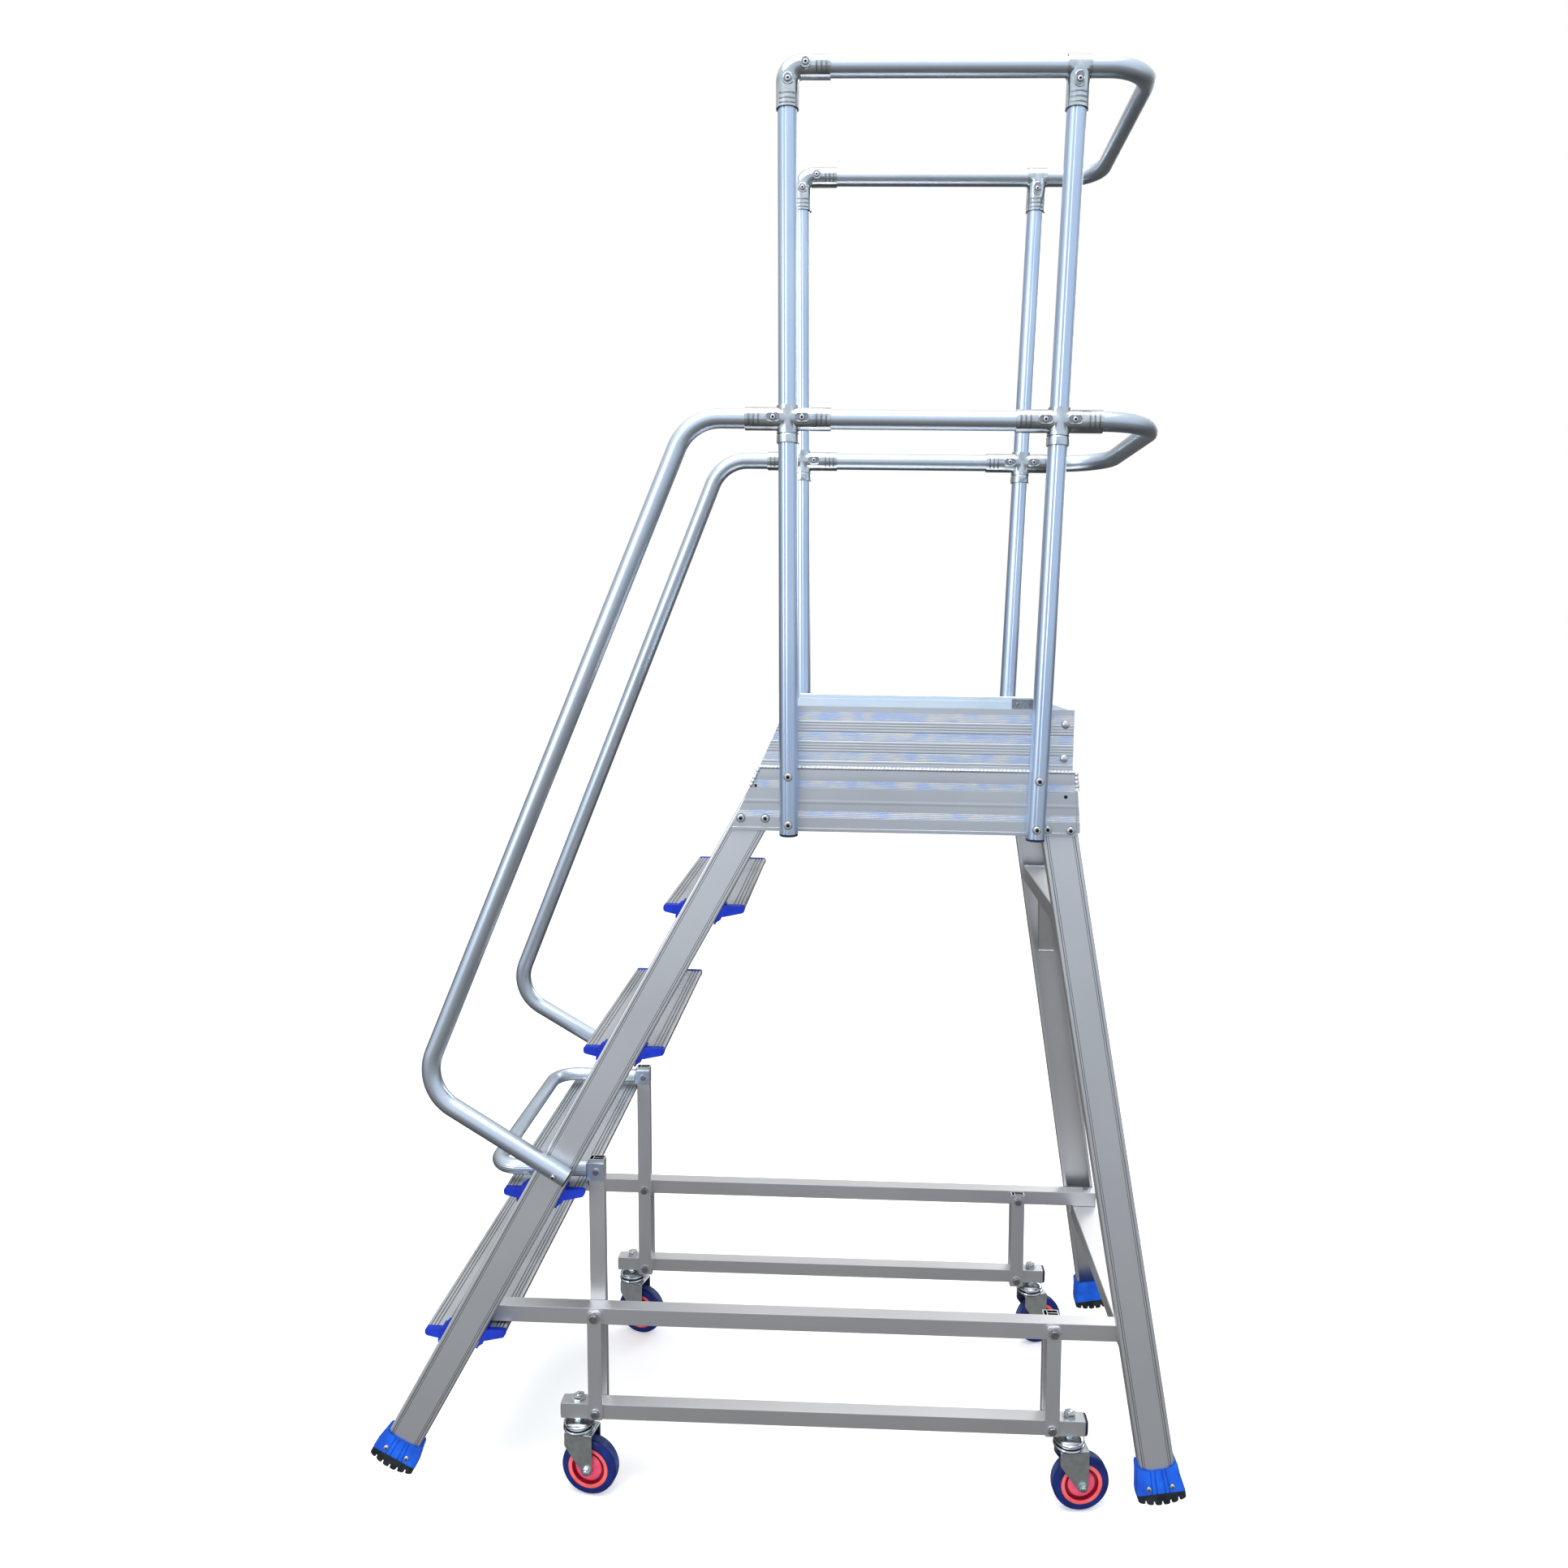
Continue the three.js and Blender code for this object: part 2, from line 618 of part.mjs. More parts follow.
// A flat outer link with its two bolts, which run through rail, beam and inner member.
function outerLink(pivotX, sign) {
  const half = LINK.width / 2;
  const shape = new THREE.Shape();
  shape.absarc(lowX(pivotX), BEAM.z, half, Math.PI, 2 * Math.PI);
  shape.absarc(pivotX, RAIL.z, half, 0, Math.PI);
  const plate = new THREE.ExtrudeGeometry(shape, {
    depth: LINK.thick,
    curveSegments: 6,
    bevelEnabled: false,
  });
  plate.rotateX(Math.PI / 2);
  const inner = railOuter + GAP;
  const outer = inner + LINK.thick;
  plate.translate(0, sign > 0 ? outer : -inner, 0);
  const nutFace = leverY - LEVER.depth / 2 - GAP;
  const bolts = [
    [lowX(pivotX), BEAM.z],
    [pivotX, RAIL.z],
  ].flatMap(([x, z]) => [
    bar([x, sign * (nutFace - 6), z], [x, sign * (outer + 1), z], PIVOT.bolt, 10),
    bar([x, sign * (outer - 1), z], [x, sign * (outer + LINK.head), z], 9, 6),
    bar([x, sign * (nutFace - 7), z], [x, sign * nutFace, z], 9, 6),
  ]);
  return join([solid(plate), ...bolts]);
}

// The foot bar: one bent tube with a clevis at each end that grips a lever.
function pedalBar() {
  const leverX = PIVOT.front - leverLean * (PEDAL.z - RAIL.z);
  const face = leverX - LEVER.width / 2 - 1.2;
  const corners = [
    [face - CLEVIS.wall + 0.5, -leverY, PEDAL.z],
    [PEDAL.x, -leverY, PEDAL.z],
    [PEDAL.x, leverY, PEDAL.z],
    [face - CLEVIS.wall + 0.5, leverY, PEDAL.z],
  ];
  const tube = pipe(bentRoute(corners, PEDAL.radius, 5), PEDAL.outer, PEDAL.inner);
  const clevises = Object.values(SIDES).flatMap((sign) => {
    const cheek = LEVER.depth / 2 + GAP;
    const web = block(
      face - CLEVIS.wall,
      face,
      sign * leverY - cheek - CLEVIS.wall,
      sign * leverY + cheek + CLEVIS.wall,
      CLEVIS.low,
      CLEVIS.high,
    );
    const cheeks = [-1, 1].map((way) => {
      const inner = sign * leverY + way * cheek;
      return block(face - 1, leverX + 10, inner, inner + way * CLEVIS.wall, CLEVIS.low, CLEVIS.high);
    });
    const bolt = bar(
      [leverX, sign * leverY - cheek - 7, LEVER.boltZ],
      [leverX, sign * leverY + cheek + 7, LEVER.boltZ],
      4,
      8,
    );
    return [web, ...cheeks, bolt];
  });
  // Each web is drilled, so that the bar's bore stays open.
  const bores = Object.values(SIDES).map((sign) => {
    const y = sign * leverY;
    return bar([face - CLEVIS.wall - 2, y, PEDAL.z + 6], [face + 2, y, PEDAL.z + 6], 3, 8);
  });
  return cut(join([tube, ...clevises]), bores);
}

for (const [side, sign] of Object.entries(SIDES)) {
  add(`side_rail_${side}`, sideRail(sign), materials.aluminium);
  add(`caster_beam_${side}`, casterBeam(sign), materials.aluminium);
  add(`lift_lever_${side}`, liftLever(sign), materials.aluminium);
  add(`front_outer_link_${side}`, outerLink(PIVOT.front, sign), materials.aluminium);
  add(`rear_outer_link_${side}`, outerLink(PIVOT.rear, sign), materials.aluminium);
  add(`rear_inner_link_${side}`, innerLink(sign), materials.aluminium);
}
add("pedal_bar", pedalBar(), materials.aluminium);

// ---- Casters ----
// Drawn with the stem on the Z axis and the wheel trailing towards +X.
function fork() {
  const axleZ = WHEEL.radius;
  const inner = FORK.legHalf - FORK.wall;
  const legs = [-1, 1].map((way) => {
    const shape = new THREE.Shape();
    shape.moveTo(-21, FORK.crownZ + FORK.wall);
    shape.lineTo(-21, FORK.crownZ - 14);
    shape.lineTo(WHEEL.trail - 9, axleZ - 5);
    shape.absarc(WHEEL.trail, axleZ, 10, 1.2 * Math.PI, 2 * Math.PI);
    shape.lineTo(WHEEL.trail + 10, FORK.crownZ + FORK.wall);
    const plate = new THREE.ExtrudeGeometry(shape, {
      depth: FORK.wall,
      curveSegments: 5,
      bevelEnabled: false,
    });
    plate.rotateX(Math.PI / 2);
    plate.translate(0, way > 0 ? FORK.legHalf : -inner, 0);
    return solid(plate);
  });
  const crown = block(-21, WHEEL.trail + 10, -FORK.legHalf, FORK.legHalf,
    FORK.crownZ, FORK.crownZ + FORK.wall);
  const races = turned(
    [
      [0, FORK.crownZ],
      [23, FORK.crownZ],
      [26, FORK.crownZ + 9],
      [23, FORK.raceZ - 3],
      [FORK.stem, FORK.raceZ],
      [FORK.stem, FORK.nutZ],
      [10.5, FORK.nutZ],
      [10.5, FORK.nutZ + 9],
      [0, FORK.nutZ + 9],
    ],
    12,
  );
  const axle = bar(
    [WHEEL.trail, -FORK.legHalf - 7, axleZ],
    [WHEEL.trail, FORK.legHalf + 7, axleZ],
    WHEEL.bore - GAP,
    10,
  );
  return join([crown, ...legs, races, axle]);
}

function wheel() {
  const half = WHEEL.width / 2;
  const rim = WHEEL.radius - 14;
  const disc = turned(
    [
      [WHEEL.bore, -half - 1],
      [24, -half - 1],
      [28, -half + 4],
      [rim, -half],
      [WHEEL.radius - 4, -half],
      [WHEEL.radius, -half + 5],
      [WHEEL.radius, half - 5],
      [WHEEL.radius - 4, half],
      [rim, half],
      [28, half - 4],
      [24, half + 1],
      [WHEEL.bore, half + 1],
      [WHEEL.bore, -half - 1],
    ],
    18,
  );
  return disc.rotate([90, 0, 0]).translate([WHEEL.trail, 0, WHEEL.radius]);
}

for (const [place, caster] of Object.entries(CASTERS)) {
  const sign = SIDES[place.split("_")[1]];
  const swivel = new THREE.Group();
  swivel.position.set(caster.x, sign * RAIL.y, 0);
  swivel.rotation.z = THREE.MathUtils.degToRad(caster.yaw);
  group.add(swivel);
  add(`caster_fork_${place}`, fork(), materials.zinc, swivel);
  add(`caster_wheel_${place}`, wheel(), materials.tyre, swivel);
}

export default group;
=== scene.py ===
"""Wheeled aluminium platform steps: the looks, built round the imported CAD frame.

Lengths are millimetres in the frame's own axes (+Z up, +X towards the rear legs), and become
metres where a mesh is made. The driving sizes repeat the CAD's; the rest is worked out from them
or read from the frame.
"""

import math
import random

import bmesh
import bpy
from mathutils import Matrix, Vector


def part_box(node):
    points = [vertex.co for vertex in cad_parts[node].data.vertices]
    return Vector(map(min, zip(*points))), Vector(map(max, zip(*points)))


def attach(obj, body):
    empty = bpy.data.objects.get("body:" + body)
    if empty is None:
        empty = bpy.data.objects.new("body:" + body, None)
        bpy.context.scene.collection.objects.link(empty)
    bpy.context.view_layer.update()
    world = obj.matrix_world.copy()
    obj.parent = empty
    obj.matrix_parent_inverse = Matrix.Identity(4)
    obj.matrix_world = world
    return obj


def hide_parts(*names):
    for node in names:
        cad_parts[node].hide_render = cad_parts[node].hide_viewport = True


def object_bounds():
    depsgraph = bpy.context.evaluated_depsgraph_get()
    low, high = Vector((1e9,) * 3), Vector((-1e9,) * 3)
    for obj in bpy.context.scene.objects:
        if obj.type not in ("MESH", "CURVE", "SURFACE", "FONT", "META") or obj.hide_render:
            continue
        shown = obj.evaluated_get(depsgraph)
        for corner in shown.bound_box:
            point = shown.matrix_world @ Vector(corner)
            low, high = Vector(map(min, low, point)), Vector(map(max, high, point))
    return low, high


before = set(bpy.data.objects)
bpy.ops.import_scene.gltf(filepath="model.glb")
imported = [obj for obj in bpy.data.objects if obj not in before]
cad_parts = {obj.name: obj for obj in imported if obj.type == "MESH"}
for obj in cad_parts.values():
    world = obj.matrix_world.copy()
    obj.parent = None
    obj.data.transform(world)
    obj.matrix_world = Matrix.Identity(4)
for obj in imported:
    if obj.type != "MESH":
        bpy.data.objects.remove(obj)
cad_low, cad_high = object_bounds()
random.seed(7)

MM = 0.001
SIDES = {"right": -1, "left": 1}

# ---- Driving sizes, as in the CAD ----
RISE, RUN, TREADS = 250, 135.9, 4
FIRST_TREAD = {"top": 317, "front": -615.3, "depth": 141}
FLARE, FLARE_Z, FLARE_Y = 0.082, 319, 290
LEG = {"width": 61, "flange": 25, "wall": 3, "top": 1262}
FRONT_LEG = {"x0": -714.8, "slope": 0.5408, "foot": 124}
REAR_LEG = {"x0": 681, "slope": -0.1726, "foot": 120}
SOCKET = 14
TUBE, SLEEVE, BORE = 16.0, 18.8, 17.4
TOP_Z, MID_Z, POST_Z = 2451, 1892, 1194
POST_SPREAD, POST_LEAN_Y = 241.5, 0.0092
FRONT_POST = {"x0": 9.8, "lean": -0.0142}
REAR_POST = {"x0": 427.6, "lean": 0.0269}
TOP_BOW = {"x": 585, "radius": 75}
MID_BOW = {"x": 616, "radius": 98}
HANDRAIL = {"elbow": -165.6, "knee": (-619, 750), "end": (-362, 596), "radius": 78}
RAIL_Y, RAIL_Z, BEAM_Z = 247, 334, 156
PIVOT = {"front": -321.5, "rear": 484, "over": 1.9}
UPPER_BAR = {"top": 1066.0, "height": 28.6, "shift": -2.0, "half": 25.0}
BRACE_REACH, RAIL_END_BOLT = 156, 633
PLATE_FACE = 223.9
LEVER = {"width": 28, "depth": 18, "top": 608, "bolt": 587}
PEDAL = {"x": -510.6, "z": 587, "radius": 45, "tube": 13.5}
WHEEL = {"radius": 51, "width": 30, "trail": 22}
CASTERS = {
    "front_right": (-353, -10),
    "front_left": (-353, -16),
    "rear_right": (519, 7),
    "rear_left": (519, 20),
}


def leg_x(leg, z):
    return leg["x0"] + leg["slope"] * z


def leg_y(z):
    return FLARE_Y - FLARE * (z - FLARE_Z)


def post_x(post, z):
    return post["x0"] + post["lean"] * (z - POST_Z)


def post_y(z):
    return POST_SPREAD - POST_LEAN_Y * (z - POST_Z)


def low_x(pivot):
    return pivot + PIVOT["over"]


LEVER_LEAN = PIVOT["over"] / (RAIL_Z - BEAM_Z)
LEVER_Y = RAIL_Y - 14 - 0.3 - LEVER["depth"] / 2


def box_mm(node):
    low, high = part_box(node)
    return low / MM, high / MM


# ---- Materials ----
def add_node(tree, kind, values=(), links=(), data_type=None):
    """A shader node with some inputs set and others linked."""
    node = tree.nodes.new("ShaderNode" + kind)
    if data_type:
        node.data_type = data_type
    for name, value in dict(values).items():
        node.inputs[name].default_value = value
    for name, source in dict(links).items():
        tree.links.new(source, node.inputs[name])
    return node


def node_material(name, base, metallic, roughness):
    material = bpy.data.materials.new(name)
    material.use_nodes = True
    shader = material.node_tree.nodes["Principled BSDF"]
    shader.inputs["Base Color"].default_value = (*base, 1)
    shader.inputs["Metallic"].default_value = metallic
    shader.inputs["Roughness"].default_value = roughness
    return material, material.node_tree, shader


def noise(tree, scale, detail=3.0, stretch=None):
    """Noise over the object in metres, or stretched along the piece's own run in millimetres."""
    if stretch:
        source = add_node(tree, "UVMap")
        source.uv_map = "run"
        mapping = add_node(tree, "Mapping", {"Scale": stretch}, {"Vector": source.outputs["UV"]})
        place = mapping.outputs["Vector"]
    else:
        place = add_node(tree, "TexCoord").outputs["Object"]
    values = {"Scale": scale, "Detail": detail}
    return add_node(tree, "TexNoise", values, {"Vector": place}).outputs["Fac"]


def ramp(tree, value, low, high, start=0.35, end=0.65):
    values = {"From Min": start, "From Max": end, "To Min": low, "To Max": high}
    return add_node(tree, "MapRange", values, {"Value": value}).outputs["Result"]


def tint(tree, value, dark, light):
    values = {"A": (*dark, 1), "B": (*light, 1)}
    links = {"Factor": ramp(tree, value, 0, 1)}
    return add_node(tree, "Mix", values, links, "RGBA").outputs["Result"]


def drive(tree, shader, colour, roughness, height, strength, distance):
    """Links a colour, a roughness and a fine relief to the shader."""
    relief = add_node(tree, "Bump", {"Strength": strength, "Distance": distance}, {"Height": height})
    sources = {"Base Color": colour, "Roughness": roughness, "Normal": relief.outputs["Normal"]}
    for name, source in sources.items():
        tree.links.new(source, shader.inputs[name])


def brushed(name, dark, light, roughness, patch=None):
    """Anodised extrusion: fine drawing lines, and slow blotches of tone; patch lays them along the run, and
    there the blotches are painted sheen.
    """
    material, tree, shader = node_material(name, light, 1.0, roughness)
    lines = noise(tree, 1.0, 4.0, (0.004, 2.4, 1))
    blotches = noise(tree, 1.0, 1.0, patch) if patch else noise(tree, 5.0, 4.0)
    rough = ramp(tree, lines, roughness - 0.03, roughness + 0.04, 0.3, 0.7)
    drive(tree, shader, tint(tree, blotches, dark, light), rough, lines, 0.08, 0.00003)
    return material


def plated(name, dark, light, roughness, grain):
    """Plated pressed steel: small uneven tone and shallow dents."""
    material, tree, shader = node_material(name, light, 1.0, roughness)
    tone = tint(tree, noise(tree, grain, 5.0), dark, light)
    rough = ramp(tree, noise(tree, grain * 2, 2.0), roughness - 0.03, roughness + 0.06)
    drive(tree, shader, tone, rough, noise(tree, grain * 0.8, 1.0), 0.12, 0.0001)
    return material


def moulded(name, dark, light, roughness, grain=900, depth=0.0001):
    """Moulded plastic or rubber: a fine sparked texture."""
    material, tree, shader = node_material(name, light, 0.0, roughness)
    shader.inputs["Specular IOR Level"].default_value = 0.22
    tone = tint(tree, noise(tree, 40, 4.0), dark, light)
    rough = ramp(tree, noise(tree, 120, 3.0), roughness - 0.08, roughness + 0.1)
    drive(tree, shader, tone, rough, noise(tree, grain, 2.0), 0.35, depth)
    return material


ALUMINIUM = brushed("anodised_aluminium", (0.72, 0.72, 0.725), (0.76, 0.76, 0.765), 0.44)
LINE = brushed("groove_shadow", (0.22, 0.23, 0.25), (0.30, 0.31, 0.33), 0.5)
# Painted shade: a darker grey for the faces of the leg's fine grooves.
LEG_GROOVE_SHADE = brushed("leg_groove_painted_shade", (0.30, 0.31, 0.32), (0.38, 0.39, 0.40), 0.45)
TREAD = brushed("tread_ribbed", (0.50, 0.52, 0.54), (0.60, 0.62, 0.64), 0.46)
TUBING = brushed("drawn_tube", (0.62, 0.69, 0.77), (0.68, 0.75, 0.83), 0.32)
# Tube aluminium with more blue than the rails: the extra blue is a painted sky reflection. The clevises take
# it too.
POST_PAINTED_SKY = brushed("post_tube_painted_sky", (0.56, 0.67, 0.84), (0.63, 0.74, 0.90), 0.30)
RIBBED = brushed("ribbed_aluminium", (0.66, 0.68, 0.71), (0.74, 0.76, 0.79), 0.40)
# The boards' smooth inner face, lighter and bluer than their ribbed outer face: painted sky reflection.
INNER_PAINTED_SKY = brushed("smooth_inner_face_painted_sky", (0.80, 0.88, 0.96), (0.84, 0.92, 0.99), 0.40)
# Painted sheen: the fine ribbed bands drift between blue and cream along their run, standing in for the
# shimmer of light on the ribs.
SHEEN = brushed("fine_ribbed_band_painted_sheen", (0.68, 0.78, 0.98), (0.88, 0.88, 0.87), 0.38, patch=(0.03, 0.03, 1))
NICKEL = plated("bright_nickel", (0.50, 0.54, 0.56), (0.74, 0.78, 0.80), 0.15, 40)
ZINC = plated("zinc_plate", (0.54, 0.58, 0.59), (0.64, 0.68, 0.68), 0.34, 60)
BOLT = plated("bolt_steel", (0.62, 0.63, 0.64), (0.78, 0.79, 0.80), 0.30, 200)
# Grey of the hex bolt heads and corner brackets; on the joints' crimps and in their boss recesses it is
# painted shade.
HEX_GREY_AND_SHADE = plated("bolt_grey_and_painted_shade", (0.24, 0.25, 0.27), (0.36, 0.37, 0.39), 0.34, 200)
WELD = plated("weld_metal", (0.70, 0.72, 0.75), (0.92, 0.94, 0.97), 0.34, 400)
# Near-black painted shade, put on sockets, holes, narrow gaps and the inside of open tubes, where shade
# falls.
SHADE = moulded("painted_shade_black", (0.006, 0.006, 0.008), (0.012, 0.012, 0.015), 0.6)
CAP_BLUE = moulded("tread_cap_blue", (0.0005, 0.014, 0.30), (0.001, 0.026, 0.42), 0.42)
FOOT_BLUE = moulded("foot_blue", (0.0, 0.055, 0.44), (0.0005, 0.105, 0.62), 0.36)
RUBBER = moulded("sole_rubber", (0.006, 0.009, 0.011), (0.018, 0.022, 0.025), 0.62)
PLUG = moulded("plug_navy", (0.008, 0.010, 0.022), (0.018, 0.022, 0.045), 0.45)
TYRE = moulded("tyre_navy", (0.002, 0.010, 0.095), (0.003, 0.018, 0.145), 0.38)
TREAD_BAND = moulded("tyre_tread", (0.010, 0.025, 0.13), (0.06, 0.09, 0.24), 0.5, 500, 0.0003)
CORAL = moulded("rim_coral", (0.70, 0.085, 0.085), (0.80, 0.13, 0.12), 0.38)
GROOVE_RED = moulded("rim_groove_red", (0.26, 0.004, 0.02), (0.34, 0.008, 0.03), 0.42)
HUB_PINK = moulded("hub_pink", (0.64, 0.05, 0.11), (0.76, 0.09, 0.16), 0.38)


# ---- Shapes ----
def circle(radius, count):
    step = 2 * math.pi / count
    return [(radius * math.cos(i * step), radius * math.sin(i * step)) for i in range(count)]


def ring_at(place, outline, height):
    """An outline at one height of a frame."""
    return [place @ Vector((u, v, height)) for u, v in outline]


def rounded(points, radius, steps=4):
    """The outline with each corner turned into an arc; radius is one number or one per corner."""
    radii = radius if isinstance(radius, (list, tuple)) else [radius] * len(points)
    outline = []
    for i, (corner, r) in enumerate(zip(points, radii)):
        here = Vector(corner)
        back = (Vector(points[i - 1]) - here)
        on = (Vector(points[(i + 1) % len(points)]) - here)
        half = back.angle(on) / 2
        if r <= 0 or half > math.radians(88):
            outline.append(tuple(here))
            continue
        reach = min(r / math.tan(half), back.length * 0.48, on.length * 0.48)
        bend = reach * math.tan(half)
        middle = (back.normalized() + on.normalized()).normalized()
        centre = here + middle * (bend / math.sin(half))
        first = here + back.normalized() * reach - centre
        last = here + on.normalized() * reach - centre
        turn = first.angle_signed(last)
        for k in range(steps + 1):
            outline.append(tuple(centre + Matrix.Rotation(-turn * k / steps, 2) @ first))
    return outline


def shrunk(outline, amount):
    """The outline moved inwards by amount, corner by corner."""
    area = sum(a[0] * b[1] - b[0] * a[1] for a, b in zip(outline, outline[1:] + outline[:1]))
    sign = 1 if area > 0 else -1
    moved = []
    for i, point in enumerate(outline):
        before, after = Vector(outline[i - 1]), Vector(outline[(i + 1) % len(outline)])
        here = Vector(point)
        into, away = (here - before).normalized(), (after - here).normalized()
        normal = Vector((-(into + away).y, (into + away).x)).normalized() * sign
        lean = max(0.5, abs(normal.dot(Vector((-away.y, away.x)))))
        moved.append(tuple(here + normal * (amount / lean)))
    return moved


class Shape:
    """Faces in millimetres. Each face has a material index and a place along and round its run."""

    def __init__(self):
        self.points, self.faces, self.slots, self.runs = [], [], [], []

    def loft(self, rings, slot=0, caps=(True, True), closed=False, slot_of=None, cap_slot=None):
        """Joins rings of equal count; caps close its two ends, closed joins the last to the first."""
        base, count = len(self.points), len(rings[0])
        along, place = [0.0], 0.0
        for a, b in zip(rings, rings[1:]):
            place += max((Vector(q) - Vector(p)).length for p, q in zip(a, b))
            along.append(place)
        around = [0.0]
        for a, b in zip(rings[0], rings[0][1:] + rings[0][:1]):
            around.append(around[-1] + (Vector(b) - Vector(a)).length)
        for ring in rings:
            self.points.extend(Vector(p) for p in ring)
        for i in range(len(rings) if closed else len(rings) - 1):
            j = (i + 1) % len(rings)
            ends = (along[i], along[i + 1] if i + 1 < len(along) else along[i] + 1)
            for k in range(count):
                m = (k + 1) % count
                self.faces.append([base + i * count + k, base + i * count + m,
                                   base + j * count + m, base + j * count + k])
                self.slots.append(slot_of(i, k) if slot_of else slot)
                self.runs.append([(ends[0], around[k]), (ends[0], around[k + 1]),
                                  (ends[1], around[k + 1]), (ends[1], around[k])])
        for wanted, i in zip(caps, (0, len(rings) - 1)):
            if wanted and not closed:
                face = [base + i * count + k for k in range(count)]
                self.faces.append(face if i else face[::-1])
                self.slots.append(slot if cap_slot is None else cap_slot)
                flat = [(p[0] + p[2], p[1]) for p in (rings[i] if i else rings[i][::-1])]
                self.runs.append(flat)
        return self

    def prism(self, outline, place, start, end, chamfer=0.0, slot=0, slot_of=None, cap_slot=None):
        """An outline in a frame's first two axes, run along its third."""
        levels = [(start, outline), (end, outline)]
        if chamfer:
            inner = shrunk(outline, chamfer)
            levels = [(start, inner), (start + chamfer, outline), (end - chamfer, outline), (end, inner)]
        rings = [ring_at(place, ring, w) for w, ring in levels]
        return self.loft(rings, slot, slot_of=slot_of, cap_slot=cap_slot)

    def hollow(self, outer, inner, place, end, dark):
        """A tube of any section, open at both ends; dark is the material of its inner faces, which is painted
        shade.
        """
        levels = ((0, outer), (end, outer), (end, inner), (0, inner))
        rings = [ring_at(place, ring, w) for w, ring in levels]
        return self.loft(rings, caps=(False, False), closed=True, slot_of=lambda i, k: dark if i == 2 else 0)

    def turned(self, profile, place, count=32, slot=0, slots=None):
        """A surface of revolution about the frame's third axis from (radius, height) pairs."""
        rings = [ring_at(place, circle(max(r, 0.02), count), h) for r, h in profile]
        return self.loft(rings, slot, slot_of=(lambda i, k: slots[i]) if slots else None)

    def sweep(self, route, section, slot=0, caps=(True, True), cap_slot=None):
        """A section run along a route of points, kept from twisting."""
        route = [Vector(p) for p in route]
        rings, side = [], None
        for i, here in enumerate(route):
            before, after = route[max(i - 1, 0)], route[min(i + 1, len(route) - 1)]
            ahead = ((here - before).normalized() + (after - here).normalized()).normalized()
            if side is None:
                side = Vector((0, 1, 0)) if abs(ahead.y) < 0.9 else Vector((1, 0, 0))
            side = (side - ahead * side.dot(ahead)).normalized()
            up = ahead.cross(side)
            rings.append([here + side * u + up * v for u, v in section])
        return self.loft(rings, slot, caps, cap_slot=cap_slot)


def to_mesh(shape, name):
    mesh = bpy.data.meshes.new(name)
    mesh.from_pydata([p * MM for p in shape.points], [], shape.faces)
    runs = mesh.uv_layers.new(name="run")
    for face, slot, run in zip(mesh.polygons, shape.slots, shape.runs):
        face.material_index = slot
        for loop, place in zip(face.loop_indices, run):
            runs.data[loop].uv = place
    return mesh


def turn_outwards(mesh):
    bm = bmesh.new()
    bm.from_mesh(mesh)
    bmesh.ops.recalc_face_normals(bm, faces=bm.faces)
    bm.to_mesh(mesh)
    bm.free()


def linked(name, data):
    made = bpy.data.objects.new(name, data)
    bpy.context.scene.collection.objects.link(made)
    return made


def piece(name, shape, materials, body="frame", stands_for=(), angle=32):
    """Makes the object, rides it on its body and hides the CAD nodes it stands for.

    Large faces are shaded flat, and the narrow faces between them take up the turn.
    """
    mesh = to_mesh(shape, name) if isinstance(shape, Shape) else shape
    for material in materials:
        mesh.materials.append(material)
    turn_outwards(mesh)
    for face in mesh.polygons:
        face.use_smooth = True
    mesh.set_sharp_from_angle(angle=math.radians(angle))
    made = linked(name, mesh)
    weighted = made.modifiers.new("weighted_normals", "WEIGHTED_NORMAL")
    weighted.mode, weighted.weight, weighted.keep_sharp = "FACE_AREA", 100, True
    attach(made, body)
    if stands_for:
        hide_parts(*stands_for)
    return made


def stand_in(node, part, shape, materials, body="frame", angle=32):
    """The piece that stands for one CAD node; its name is the node's and the part's."""
    return piece(f"{node}_{part}", shape, materials, body, [node], angle)


def carved(base, cutters, operation="DIFFERENCE"):
    """The mesh of base after each cutter is taken from it or joined to it."""
    host = linked("carving", to_mesh(base, "carving"))
    helpers = [host]
    for cutter in cutters:
        tool = linked("cutter", to_mesh(cutter, "cutter"))
        turn_outwards(host.data)
        turn_outwards(tool.data)
        step = host.modifiers.new("step", "BOOLEAN")
        step.operation, step.object, step.solver = operation, tool, "EXACT"
        helpers.append(tool)
        bpy.context.view_layer.update()
        result = bpy.data.meshes.new_from_object(host.evaluated_get(bpy.context.evaluated_depsgraph_get()))
        host.modifiers.remove(step)
        host.data = result
    made = host.data
    for helper in helpers:
        bpy.data.objects.remove(helper)
    return made


def mesh_shape(mesh):
    """A Shape with a finished mesh in it, so that more can be added or carved."""
    shape = Shape()
    layer = mesh.uv_layers["run"].data
    shape.points = [v.co / MM for v in mesh.vertices]
    for face in mesh.polygons:
        shape.faces.append(list(face.vertices))
        shape.slots.append(face.material_index)
        shape.runs.append([tuple(layer[i].uv) for i in face.loop_indices])
    return shape


def union(first, others, cutters):
    """Shapes joined into one, then carved."""
    return carved(mesh_shape(carved(first, others, "UNION")), cutters)


def basis(x, y, z, origin):
    made = Matrix((x, y, z)).transposed().to_4x4()
    made.translation = Vector(origin)
    return made


def frame_at(origin, third, first=(1, 0, 0)):
    """A frame whose third axis is given, and whose first lies as near the given one as it can."""
    z = Vector(third).normalized()
    x = (Vector(first) - z * Vector(first).dot(z)).normalized()
    return basis(x, z.cross(x), z, origin)


